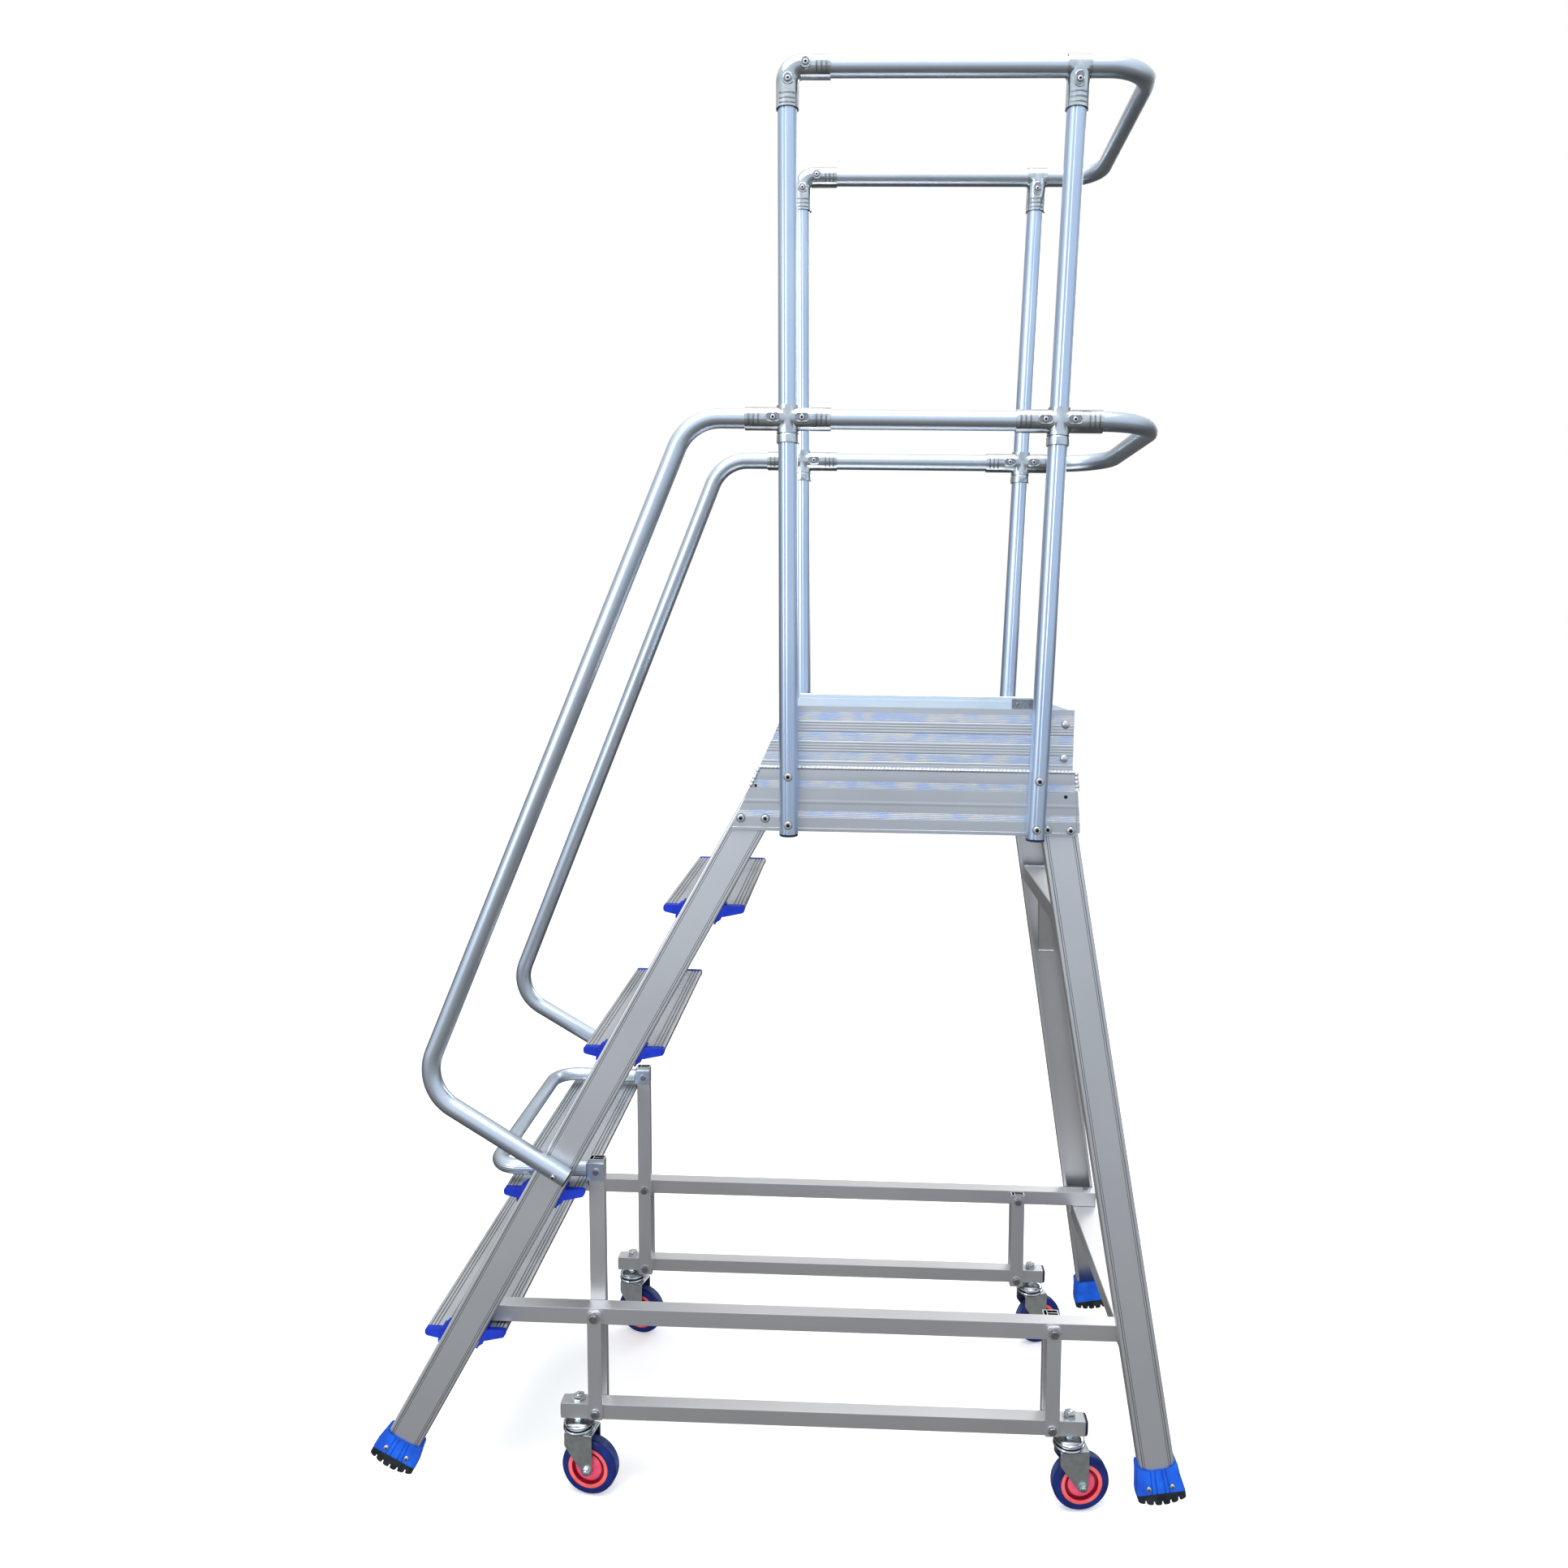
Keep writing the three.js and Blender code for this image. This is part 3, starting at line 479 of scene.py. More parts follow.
def leg_frame(leg, sign, z):
    """The leg's own axes at height z: across its web, out of it, and along it."""
    along = Vector((leg["slope"], -sign * FLARE, 1)).normalized()
    out = Vector((0, sign, 0))
    out = (out - along * out.dot(along)).normalized()
    return basis(out.cross(along), out, along, (leg_x(leg, z), sign * leg_y(z), z))


def bent(corners, radius, steps=14):
    """Corners joined by straight runs, with each inner corner bent to a radius."""
    points = [Vector(c) for c in corners]
    route = [points[0]]
    for before, here, after in zip(points, points[1:], points[2:]):
        back, on = (before - here).normalized(), (after - here).normalized()
        half = back.angle(on) / 2
        middle = (back + on).normalized()
        centre = here + middle * (radius / math.sin(half))
        axis = back.cross(on).normalized()
        sweep = math.pi - 2 * half
        for k in range(steps + 1):
            turn = Matrix.Rotation(sweep / 2 - sweep * k / steps, 3, axis)
            route.append(centre - (turn @ middle) * radius)
    route.append(points[-1])
    return route


def fluted(radius, count, flutes, depth, half_width):
    """A round section with narrow flutes at the given angles, in degrees."""
    outline = []
    for i in range(count):
        angle = 2 * math.pi * i / count
        cut = 0.0
        for flute in flutes:
            gap = (math.degrees(angle) - flute + 180) % 360 - 180
            cut = max(cut, depth * max(0.0, 1 - abs(gap) / half_width))
        outline.append(((radius - cut) * math.cos(angle), (radius - cut) * math.sin(angle)))
    return outline


# ---- Fasteners ----
def hex_outline(across_flats, count=24):
    """A hexagon with as many points as a circle, so that the two can be joined."""
    apothem = across_flats / 2
    outline = []
    for i in range(count):
        angle = 2 * math.pi * i / count
        within = (angle % (math.pi / 3)) - math.pi / 6
        reach = apothem / math.cos(within)
        outline.append((reach * math.cos(angle), reach * math.sin(angle)))
    return outline


def socket_bolt(shape, at, axis, radius=6.5, height=4.2, metal=0, dark=1):
    """A button head on a thin washer, with a hexagon socket."""
    place = frame_at(at, axis)
    shape.turned([(0, 0), (radius + 1.7, 0), (radius + 1.7, 0.7), (0, 0.7)], place, 24, metal)
    # The thin ring at the head's foot and the socket take the dark slot: painted shade under the head and in
    # the socket.
    shape.turned([(radius + 0.5, 0.7), (radius + 0.5, 0.8), (0, 0.8)], place, 24, dark)
    crown = ((0.45, 1), (0.75, 0.93), (0.95, 0.82), (1, 0.7))
    levels = [(radius, 0.8)] + [(radius * share, height * rise) for rise, share in crown]
    rings = [ring_at(place, circle(r, 24), h) for r, h in levels]
    hexagon = hex_outline(radius * 0.86)
    rings += [ring_at(place, hexagon, height), ring_at(place, hexagon, height * 0.45)]
    shape.loft(rings, metal, caps=(True, False))
    shape.loft([rings[-2], rings[-1]], dark, caps=(False, True))


def hex_bolt(shape, at, axis, flats=10, height=5.0, metal=0, washer=10.0):
    """A hexagon head with chamfered corners on a flange washer."""
    place = frame_at(at, axis)
    shape.turned([(0, 0), (washer, 0), (washer, 1.0), (washer - 1, 1.4), (0, 1.4)], place, 24, metal)
    hexagon = hex_outline(flats)
    top = [(u * 0.9, v * 0.9) for u, v in circle(flats / 2 * 1.05, 24)]
    levels = ((1.4, hexagon), (height - 0.8, hexagon), (height, top))
    shape.loft([ring_at(place, ring, h) for h, ring in levels], metal + 1)


def pan_screw(shape, at, axis, radius=4.6, height=2.6, metal=0, dark=1):
    """A domed head with a cross recess."""
    place = frame_at(at, axis)
    profile = [(0, 0), (radius, 0), (radius, 0.6), (radius * 0.86, height * 0.66)]
    profile += [(radius * 0.55, height * 0.92), (0, height)]
    shape.turned(profile, place, 24, metal)
    # The cross recess takes the dark slot: painted shade.
    for turn in (0.4, 0.4 + math.pi / 2):
        slot = Matrix.Rotation(turn, 4, "Z")
        arm = [(-radius * 0.5, -0.5), (radius * 0.5, -0.5), (radius * 0.5, 0.5), (-radius * 0.5, 0.5)]
        shape.prism(arm, place @ slot, height * 0.6, height + 0.05, slot=dark)


def dome(shape, at, axis, radius, height, metal=0):
    place = frame_at(at, axis)
    steps = 8
    profile = [(0, -0.2), (radius, -0.2)]
    for i in range(steps + 1):
        angle = math.pi / 2 * i / steps
        profile.append((radius * math.cos(angle), height * math.sin(angle)))
    shape.turned(profile, place, 28, metal)


def weld(shape, route, radius, pitch=3.2, slot=0):
    """A rippled bead along a route."""
    rings = []
    points = [Vector(p) for p in route]
    for a, b in zip(points, points[1:]):
        length = (b - a).length
        place = frame_at(a, b - a, (0, 0, 1) if abs((b - a).normalized().z) < 0.9 else (1, 0, 0))
        steps = max(2, int(length / (pitch / 3)))
        for i in range(steps):
            swell = radius * (0.72 + 0.28 * abs(math.sin(math.pi * i / 3)) + random.uniform(-0.07, 0.07))
            rings.append(ring_at(place, circle(swell, 8), length * i / steps))
    shape.loft(rings, slot)


# ---- Legs and feet ----
def channel():
    """Web outwards, flanges inwards with a small lip, and two fine grooves near each edge."""
    half, deep, lip, turn = LEG["width"] / 2, LEG["flange"], 5.5, 3.2
    side = [(half, -deep)]
    for k in range(6):
        angle = math.pi / 2 * k / 5
        side.append((half - turn + turn * math.cos(angle), -turn + turn * math.sin(angle)))
    for at, width, cut in ((24.0, 1.5, 1.6), (20.6, 1.0, 1.2)):
        near, far = at - width / 2, at + width / 2
        side += [(far, 0), (far - 0.15, -cut), (near + 0.15, -cut), (near, 0)]
    inside = [(half - 3, -4.4), (half - 3, -deep + 2.4), (half - lip, -deep + 2.4), (half - lip, -deep)]
    left = [(-u, v) for u, v in reversed(side)]
    back = [(-u, v) for u, v in reversed(inside)] + [(-half + 4.4, -3), (half - 4.4, -3)]
    return side + left + back + inside


def collar(half, outer, inner, grooves):
    """A rounded rectangle round the leg, with upright grooves in its outer face."""
    face = [(-half + 5, outer)]
    for share in (-0.36, -0.17, 0.18, 0.38):
        at, floor = share * half, outer - grooves
        face += [(at - 1.1, outer), (at - 0.5, floor), (at + 0.5, floor), (at + 1.1, outer)]
    face.append((half - 5, outer))
    corners, u, high, low = [], half - 5, outer - 5, inner + 5
    for cx, cy, start in ((u, high, 90), (u, low, 0), (-u, low, -90), (-u, high, -180)):
        for k in range(1, 6):
            angle = math.radians(start - 15 * k)
            corners.append((cx + 5 * math.cos(angle), cy + 5 * math.sin(angle)))
    return face + corners


def onto_rectangle(outline, centre, half_u, half_v):
    """Each point moved along its ray from the centre to a rectangle round that centre."""
    moved = []
    for u, v in outline:
        du, dv = u - centre[0], v - centre[1]
        scale = min(half_u / max(abs(du), 1e-6), half_v / max(abs(dv), 1e-6))
        moved.append((centre[0] + du * scale, centre[1] + dv * scale))
    return moved


def sole_outline():
    """An arched sole with lugs, as points across and along the leg."""
    half, top, lugs, notch = 40.8, -38.5, 6, 2.8
    pitch = (2 * half + notch) / lugs

    def arch(u):
        return -50.5 - 8.5 * (1 - (u / half) ** 2)

    outline = [(-half, top)]
    for i in range(lugs):
        start = -half + i * pitch
        end = start + pitch - notch
        for k in range(5):
            u = start + (end - start) * k / 4
            outline.append((u, arch(u) + (1.6 if k in (0, 4) else 0)))
        if i < lugs - 1:
            outline += [(end + 0.7, arch(end) + 6.5), (end + notch - 0.7, arch(end) + 6.5)]
    outline.append((half, top))
    return outline


def build_leg(label, leg, side):
    sign = SIDES[side]
    start = leg["foot"] - SOCKET
    stretch = math.sqrt(1 + leg["slope"] ** 2 + FLARE**2)
    outline = channel()
    # The fine grooves' faces take the second material, a darker grey: painted shade in the grooves.
    marks = [int(-2.2 < v < -0.1 and abs(u) < 26) for u, v in outline]
    length = (LEG["top"] - start) * stretch
    body = Shape().prism(outline, leg_frame(leg, sign, start), 0, length, slot_of=lambda i, k: marks[k])
    stand_in(f"{label}_leg_{side}", "channel", body, [ALUMINIUM, LEG_GROOVE_SHADE])

    place = leg_frame(leg, sign, leg["foot"])
    lift = 4 if label == "front" else 0
    drop, ear = -0.5 * lift, 9 - 1.3 * lift

    def ring(outline, along, ears=0.0):
        """A ring round the leg whose ends rise by ears."""
        return [place @ Vector((u, v, along + ears * min(1, max(0, (abs(u) - 24) / 7)))) for u, v in outline]

    def outer(half, inset=0.0):
        return collar(half - inset, 4.8 - inset, -29.8 + inset, 1.5)

    inner = onto_rectangle(collar(35, 4.8, -29.8, 0.9), (0, -LEG["flange"] / 2), 30.9, 12.9)
    rings = [ring(inner, -SOCKET + 0.5), ring(inner, drop, ear), ring(outer(35, 1.2), drop, ear),
             ring(outer(35, 0.3), drop - 1.5, ear), ring(outer(35.2), drop - 3.5, ear),
             ring(outer(36.6), -10), ring(outer(41.5), lift - 38.8), ring(outer(41.5, 1.0), lift - 40)]
    foot = f"{label}_foot_{side}"
    stand_in(foot, "cap", Shape().loft(rings), [FOOT_BLUE], angle=28)

    sole = [(u, w + lift) for u, w in sole_outline()]
    tilt = place @ Matrix(((1, 0, 0, 0), (0, 0, 1, 0), (0, 1, 0, 0), (0, 0, 0, 1)))
    piece(f"{foot}_sole", Shape().prism(sole, tilt, -29.9, 4.9, chamfer=1.0), [RUBBER], angle=28)

    screws = Shape()
    for across in (-20, 20):
        out = place.to_3x3() @ Vector((0, 1, 0))
        pan_screw(screws, place @ Vector((across, 4.6, lift - 29)), out)
    piece(f"{foot}_screws", screws, [BOLT, SHADE])


# ---- Treads ----
ALONG_Y = Matrix(((1, 0, 0, 0), (0, 0, -1, 0), (0, 1, 0, 0), (0, 0, 0, 1)))
ALONG_X = Matrix(((0, 0, 1, 0), (1, 0, 0, 0), (0, 1, 0, 0), (0, 0, 0, 1)))


def ribs(start, end, level, pitch, height, fill=0.5):
    """Rounded ribs on a line, as (place, level) points from start to end."""
    count = max(1, round((end - start) / pitch))
    step = (end - start) / count
    points = []
    for i in range(count):
        a = start + i * step + step * (1 - fill) / 2
        b = a + step * fill
        soft = min(0.28 * (b - a), 0.8)
        points += [(a, level), (a + soft * 0.4, level + height * 0.7), (a + soft, level + height),
                   (b - soft, level + height), (b - soft * 0.4, level + height * 0.7), (b, level)]
    return points


def box_shape(place, u, v, w):
    """A box from -u to u and -w to w in the frame's first and third axes."""
    outline = [(-u, v[0]), (u, v[0]), (u, v[1]), (-u, v[1])]
    return Shape().prism(outline, place, -w, w)


def build_tread(index):
    top = FIRST_TREAD["top"] + index * RISE
    front = FIRST_TREAD["front"] + index * RUN
    back = front + FIRST_TREAD["depth"]
    reach = leg_y(top) - 3
    node = f"tread_{index + 1}"
    nose = [(2.5, 0), (0.6, 1.2), (0, 5), (0.6, 9), (4, 10.8), (34, 17.5)]
    below = [(back - u, top - drop) for u, drop in nose] + [(front + u, top - drop) for u, drop in nose[::-1]]
    outline = []
    for at in (13, 41.5, 70.5, 99.5, 128):
        for line in (-6, 0, 6):
            place = front + at + line
            outline += [(place - 1.3, top), (place - 0.9, top - 1.6)]
            outline += [(place + 0.9, top - 1.6), (place + 1.3, top)]
    grooves = len(outline)
    end = reach - 11.6

    def groove_slot(i, k):
        return int(k < grooves and k % 4 == 1)

    board = Shape().prism(outline + below, ALONG_Y, -end, end, slot_of=groove_slot)
    places = [leg_frame(FRONT_LEG, sign, top - 10) for sign in SIDES.values()]
    notches = [box_shape(place, 34.2, (-28.9, 20), 80) for place in places]
    stand_in(node, "board", carved(board, notches), [TREAD, LINE], angle=24)

    wing = [(front - 0.3, top + 0.7), (front - 0.3, top - 12), (front + 36, top - 20),
            (back - 36, top - 20), (back + 0.3, top - 12), (back + 0.3, top + 0.7)]
    wing = rounded(wing, [5, 6, 10, 10, 6, 5], 5)
    for side, sign in SIDES.items():
        span = sorted((-sign * reach, -sign * (reach - 12)))
        plate = Shape().prism(wing, ALONG_Y, span[0], span[1], chamfer=0.9)
        place = leg_frame(FRONT_LEG, sign, top - 10)
        outline = [(-34.4, -3.2), (34.4, -3.2), (34.4, -28.6), (-34.4, -28.6)]
        parts = [Shape().prism(rounded(outline, 1.2, 2), place, -8, 3)]
        for way, wedge in ((-sign, ((-31, 1.5), (-20, 6.0), (-6, 7.5), (0, 2.0))),
                           (sign, ((-7, 1.5), (4, 7.5), (24, 6.5), (33, 2.0)))):
            rings = []
            for w, wide in wedge:
                outline = ((30.2, -4), (30.8 + wide, -4), (30.8 + wide, -28.2), (30.2, -28.2))
                rings.append(ring_at(place, [(way * u, v) for u, v in outline], w))
            parts.append(Shape().loft(rings))
        room = box_shape(place, 30.8, (-25.3, 20), 90)
        piece(f"{node}_cap_{side}", union(plate, parts, [room]), [CAP_BLUE])


# ---- Cross tubes ----
def flat_bar(x, half, low, high, reach):
    """A rectangular bar across the frame."""
    outline = rounded([(x - half, low), (x + half, low), (x + half, high), (x - half, high)], 1.8)
    return Shape().prism(outline, ALONG_Y, -reach, reach, chamfer=0.4)


def build_cross_tubes():
    low, high = box_mm("rear_lower_cross_tube")
    lower = flat_bar((low.x + high.x) / 2, (high.x - low.x) / 2, low.z, high.z, high.y)
    piece("rear_lower_cross_bar", lower, [ALUMINIUM], stands_for=["rear_lower_cross_tube"])
    bolts = Shape()
    for sign in SIDES.values():
        hex_bolt(bolts, (RAIL_END_BOLT, sign * RAIL_Y, RAIL_Z + 15), (0, 0, 1), 10.0, 4.4, washer=7.0)
    piece("side_rail_end_bolts", bolts, [BOLT, HEX_GREY_AND_SHADE])

    top, shift, half = UPPER_BAR["top"], UPPER_BAR["shift"], UPPER_BAR["half"]
    under = top - UPPER_BAR["height"]
    x = leg_x(REAR_LEG, (top + under) / 2) + shift
    upper = flat_bar(x, half, under, top, leg_y(top) - LEG["flange"] - 2)
    foot = box_mm("rear_upper_cross_tube")[0].z + 4
    section = rounded([(-15, -7.5), (15, -7.5), (15, 7.5), (-15, 7.5)], 1.6)
    side_y = leg_y(foot) - LEG["flange"]
    for sign in SIDES.values():
        start = Vector((x, sign * (side_y - 2 - BRACE_REACH), under + 2))
        end = Vector((leg_x(REAR_LEG, foot + 16) + shift, sign * (side_y - 2), foot + 16))
        upper.prism(section, frame_at(start, end - start), -6, (end - start).length + 6)
    piece("rear_upper_cross_bar", upper, [ALUMINIUM], stands_for=["rear_upper_cross_tube"])

    beads = Shape()
    for sign in SIDES.values():
        for z in (top, under):
            y = sign * (leg_y(z) - LEG["flange"] - 1.5)
            weld(beads, [(x - half, y, z), (x + half, y, z)], 2.4)
        for along, z, middle in ((side_y - BRACE_REACH - 14, under, x), (side_y - BRACE_REACH + 22, under, x),
                                 (side_y - 1.5, foot + 4, leg_x(REAR_LEG, foot) + shift)):
            weld(beads, [(middle - 16, sign * along, z), (middle + 16, sign * along, z)], 2.6)
        y = sign * (high.y + 0.5)
        for edge in (low.x, high.x):
            weld(beads, [(edge, y, low.z), (edge, y, high.z)], 2.0)
    piece("cross_tube_welds", beads, [WELD])


# ---- Platform ----
def banded(bands, level):
    """An outer face from low to high: points (height, level) and a material slot for each edge."""
    points, slots = [], []
    for start, end, kind, size in bands:
        if kind == "ribs":
            depth = 0.9 if size < 3 else 0.22
            found = ribs(start, end, level - depth, size, depth, 0.62 if size < 3 else 0.75)
        elif kind == "ridge":
            parts = [k / 8 for k in range(9)]
            found = [(start + (end - start) * t, level + size * math.sin(math.pi * t)) for t in parts]
        elif kind == "step":
            found = [(start, level), (start + 0.4, level + size), (end - 0.4, level + size), (end, level)]
        else:
            found = [(start, level), (end, level)]
        points += found
        # Fine ribs take slot 1, the painted sheen.
        slots += [1 if kind == "ribs" and size < 3 else 0] * len(found)
    return points, slots


def upright_board(node, face, slots, back, edges, sign, back_slot=0):
    """A board whose outer face follows (height, level) points; its ends follow two functions of height."""
    outline = [(level, z) for z, level in face] + back
    rings = [[Vector((edge(z), sign * y, z)) for y, z in outline] for edge in edges]
    marks = slots + [back_slot] * len(back)
    board = Shape().loft(rings, slot_of=lambda i, k: marks[k])
    # With a back slot, the back takes the third finish, a painted sky reflection.
    finishes = [RIBBED, SHEEN, INNER_PAINTED_SKY] if back_slot else [RIBBED, SHEEN]
    stand_in(node, "extrusion", board, finishes, angle=24)


def build_side_plate(side):
    sign = SIDES[side]
    node = f"side_plate_{side}"
    low, high = box_mm(node)
    bottom, top = low.z, high.z
    bands = [(bottom, bottom + 2.2, "step", 0.9), (bottom + 2.8, bottom + 6.2, "step", 0.9),
             (bottom + 7, bottom + 24, "flat", 0), (bottom + 24.4, bottom + 35.4, "ribs", 2.1),
             (bottom + 35.8, bottom + 47.5, "flat", 0), (bottom + 48, bottom + 55, "ridge", 0.2),
             (bottom + 55.5, bottom + 75, "flat", 0), (bottom + 75.4, bottom + 87.4, "ribs", 2.1),
             (bottom + 88, bottom + 107, "ridge", 0.15), (bottom + 107.4, top, "flat", 0)]
    face, slots = banded(bands, PLATE_FACE)
    back = [(PLATE_FACE - 5.2, top), (PLATE_FACE - 5.2, bottom)]
    lean = (-44 - low.x) / (top - bottom)

    def front(z):
        return low.x + lean * (z - bottom)

    def rear(z):
        up = z - bottom
        return high.x - (8 - up) if up < 8 else high.x - 10 * (up - 8) / (top - bottom - 8)

    upright_board(node, face, slots, back, (front, rear), sign)

    beads = Shape()
    y = sign * (PLATE_FACE + 0.3)
    weld(beads, [(front(top - 34) + 1, y, top - 34), (front(top) + 1, y, top - 0.5)], 3.6, 6.5)
    weld(beads, [(front(top) + 1, y, top - 0.6), (high.x - 10, y, top - 0.6)], 3.2, 6.5)
    weld(beads, [(high.x - 10.5, y, top), (high.x - 7.0, y, top - 34)], 3.4, 6.5)
    piece(f"{node}_weld", beads, [WELD])

    bolts = Shape()
    out = Vector((0, sign, 0))
    for x, z in ((-74, 1221), (-32, 1221), (451, 1211), (490, 1210)):
        socket_bolt(bolts, (x, sign * (PLATE_FACE - 0.1), z), out, 6.8, 3.6)
    # Two holes, each a disc in the dark slot: painted shade.
    for x, z, hole in ((480, 1268, 3.2), (-49, 1278, 2.4)):
        place = frame_at((x, sign * PLATE_FACE, z), out)
        bolts.turned([(hole, -0.6), (hole, 0.12), (0, 0.12)], place, 20, 1)
    for post in (FRONT_POST, REAR_POST):
        for z in (1297, 1215):
            socket_bolt(bolts, (post_x(post, z), sign * (post_y(z) + TUBE - 0.8), z), out, 6.8, 3.8)
    piece(f"{node}_bolts", bolts, [BOLT, SHADE])


def toe_bands(low, high):
    """Fine and coarse ribbed bands from the foot of a toe board to its top."""
    rise = (high - low) / 97
    marks = [(0, 2, "flat", 0), (2.2, 11, "ribs", 4.4), (11.2, 24, "ribs", 2.1), (24.4, 42, "ribs", 4.4),
             (42.4, 56, "ribs", 2.1), (56.4, 74, "ribs", 4.4), (74.4, 88, "ribs", 2.1), (88.4, 97, "flat", 0)]
    return [(low + a * rise, low + b * rise, kind, size) for a, b, kind, size in marks]


def toe_back(level, low, high):
    """The smooth inner face: a thicker top lip and two shallow steps."""
    steps = ((4.4, 0), (5, 1), (5, 9), (3.6, 10), (3.6, 44), (4.6, 45), (4.6, 52), (3.6, 53))
    inner = [(level - depth, high - down) for depth, down in steps]
    return inner + [(level - 3.6, low + 8), (level - 5, low + 7), (level - 5, low)]


def build_toe_boards():
    for side, sign in SIDES.items():
        node = f"toe_board_{side}"
        low, high = box_mm(node)
        level = high.y if sign > 0 else -low.y
        face, slots = banded(toe_bands(low.z, high.z), level)
        edges = (lambda z: low.x + 0.44 * (z - low.z), lambda z: high.x)
        upright_board(node, face, slots, toe_back(level, low.z, high.z), edges, sign, 2)
        rivets = Shape()
        for x, z in ((476, 1391), (475, 1333)):
            dome(rivets, (x, sign * (level - 0.3), z), (0, sign, 0), 7.0, 3.4)
        piece(f"{node}_rivets", rivets, [BOLT])
        bracket = Shape()
        inner, rear_face = level - 5, 482.3
        angle_iron = [(0, 0), (42, 0), (42, 2), (2, 2), (2, 24), (0, 24)]
        angle_iron = rounded(angle_iron, [0.4, 0.6, 0.6, 1, 0.6, 0.6], 3)
        turn = Matrix(((-1, 0, 0, rear_face), (0, -sign, 0, sign * inner), (0, 0, 1, 0), (0, 0, 0, 1)))
        bracket.prism(angle_iron, turn, high.z - 30, high.z - 4, chamfer=0.4)
        pan_screw(bracket, (rear_face - 30, sign * (inner - 2), high.z - 15), (0, -sign, 0), 4.4)
        pan_screw(bracket, (rear_face - 2, sign * (inner - 14), high.z - 15), (-1, 0, 0), 4.4)
        piece(f"{node}_corner_bracket", bracket, [HEX_GREY_AND_SHADE, SHADE])
    low, high = box_mm("toe_board_rear")
    face, slots = banded(toe_bands(low.z, high.z), 0)
    back = toe_back(0, low.z, high.z)
    outline = [(high.x + level, z) for z, level in face] + [(high.x + level, z) for level, z in back]
    rings = [[Vector((x, y, z)) for x, z in outline] for y in (low.y, high.y)]
    marks = slots + [2] * len(back)
    board = Shape().loft(rings, slot_of=lambda i, k: marks[k])
    stand_in("toe_board_rear", "extrusion", board, [RIBBED, SHEEN, INNER_PAINTED_SKY], angle=24)


def build_deck():
    """Four ribbed planks side by side, each with two webs below."""
    low, high = box_mm("deck")
    planks, gap, web = 4, 1.2, 3
    width = (high.x - low.x) / planks
    top, under = high.z - 1.4, high.z - 5
    deck = Shape()
    for i in range(planks):
        a, b = low.x + i * width + gap / 2, low.x + (i + 1) * width - gap / 2
        outline = ribs(a + web, b - web, top, 7.6, 1.4, 0.5)
        outline += [(b, top), (b, low.z), (b - web, low.z), (b - web, under)]
        outline += [(a + web, under), (a + web, low.z), (a, low.z), (a, top)]
        deck.prism(outline, ALONG_Y, low.y, high.y)
    piece("deck_planks", deck, [RIBBED], stands_for=["deck"])


# ---- Guard rail ----
def tube_piece(node, route, section=None, material=TUBING):
    shape = Shape().sweep(route, section or circle(TUBE, 40))
    stand_in(node, "tube", shape, [material], angle=40)


def plug(name, at, axis, depth, material):
    """A rounded plug in the end of a tube."""
    profile = [(TUBE - 1.5, -4), (TUBE - 0.3, -0.1), (TUBE - 0.1, 0.2), (TUBE, depth * 0.4)]
    profile += [(TUBE - 0.9, depth * 0.85), (TUBE - 2.6, depth), (0, depth)]
    piece(name, Shape().turned(profile, frame_at(at, axis), 36), [material])


def build_posts():
    for side, sign in SIDES.items():
        toward = 180 if sign < 0 else 0
        flutes = [(toward + sign * a) % 360 for a in (11, 18, -62, 75)]
        flutes += [(toward + a) % 360 for a in (180, 190)]
        section = fluted(TUBE, 120, flutes, 0.7, 4.6)
        for label, post, top in (("front", FRONT_POST, TOP_Z - 30), ("rear", REAR_POST, TOP_Z - 19)):
            levels = (POST_Z + 4.5, 1500, MID_Z, 2200, top)
            route = [(post_x(post, z), sign * post_y(z), z) for z in levels]
            node = f"{label}_post_{side}"
            tube_piece(node, route, section, POST_PAINTED_SKY)
            plug(f"{node}_plug", route[0], Vector(route[0]) - Vector(route[1]), 4.5, PLUG)


def build_rails():
    for side, sign in SIDES.items():
        front, rear, y = post_x(FRONT_POST, MID_Z), post_x(REAR_POST, MID_Z), sign * post_y(MID_Z)
        tube_piece(f"mid_rail_{side}", [(front + TUBE + 2, y, MID_Z), (rear - TUBE - 2, y, MID_Z)])
        end_y = leg_y(HANDRAIL["end"][1]) + TUBE + 1
        spread = (end_y - abs(y)) / (MID_Z - HANDRAIL["end"][1])
        corners = [(x, sign * (abs(y) + spread * (MID_Z - z)), z) for x, z in
                   ((front - TUBE - 2, MID_Z), (HANDRAIL["elbow"], MID_Z), HANDRAIL["knee"], HANDRAIL["end"])]
        route = bent(corners, HANDRAIL["radius"])
        ahead = (Vector(route[-1]) - Vector(route[-2])).normalized()
        route[-1] = Vector(route[-1]) - ahead * 2.4
        node = f"handrail_{side}"
        tube_piece(node, route)
        plug(f"{node}_plug", route[-1], ahead, 2.4, SHADE)
        screw = Shape()
        at = Vector(route[-1]) - ahead * 21
        drop = Vector((ahead.z, 0, -ahead.x)).normalized()
        out = (Vector((0, sign, 0)) * 0.97 + drop * 0.24).normalized()
        socket_bolt(screw, at + out * (TUBE - 0.4), out, 4.6, 3.0)
        piece(f"{node}_screw", screw, [BOLT, SHADE])
    behind = post_x(REAR_POST, MID_Z) + TUBE + 2
    for name, start, z, bow in (("top_rail", 22, TOP_Z, TOP_BOW), ("rear_bow", behind, MID_Z, MID_BOW)):
        y = post_y(z)
        corners = [(start, -y, z), (bow["x"], -y, z), (bow["x"], y, z), (start, y, z)]
        tube_piece(name, bent(corners, bow["radius"]))


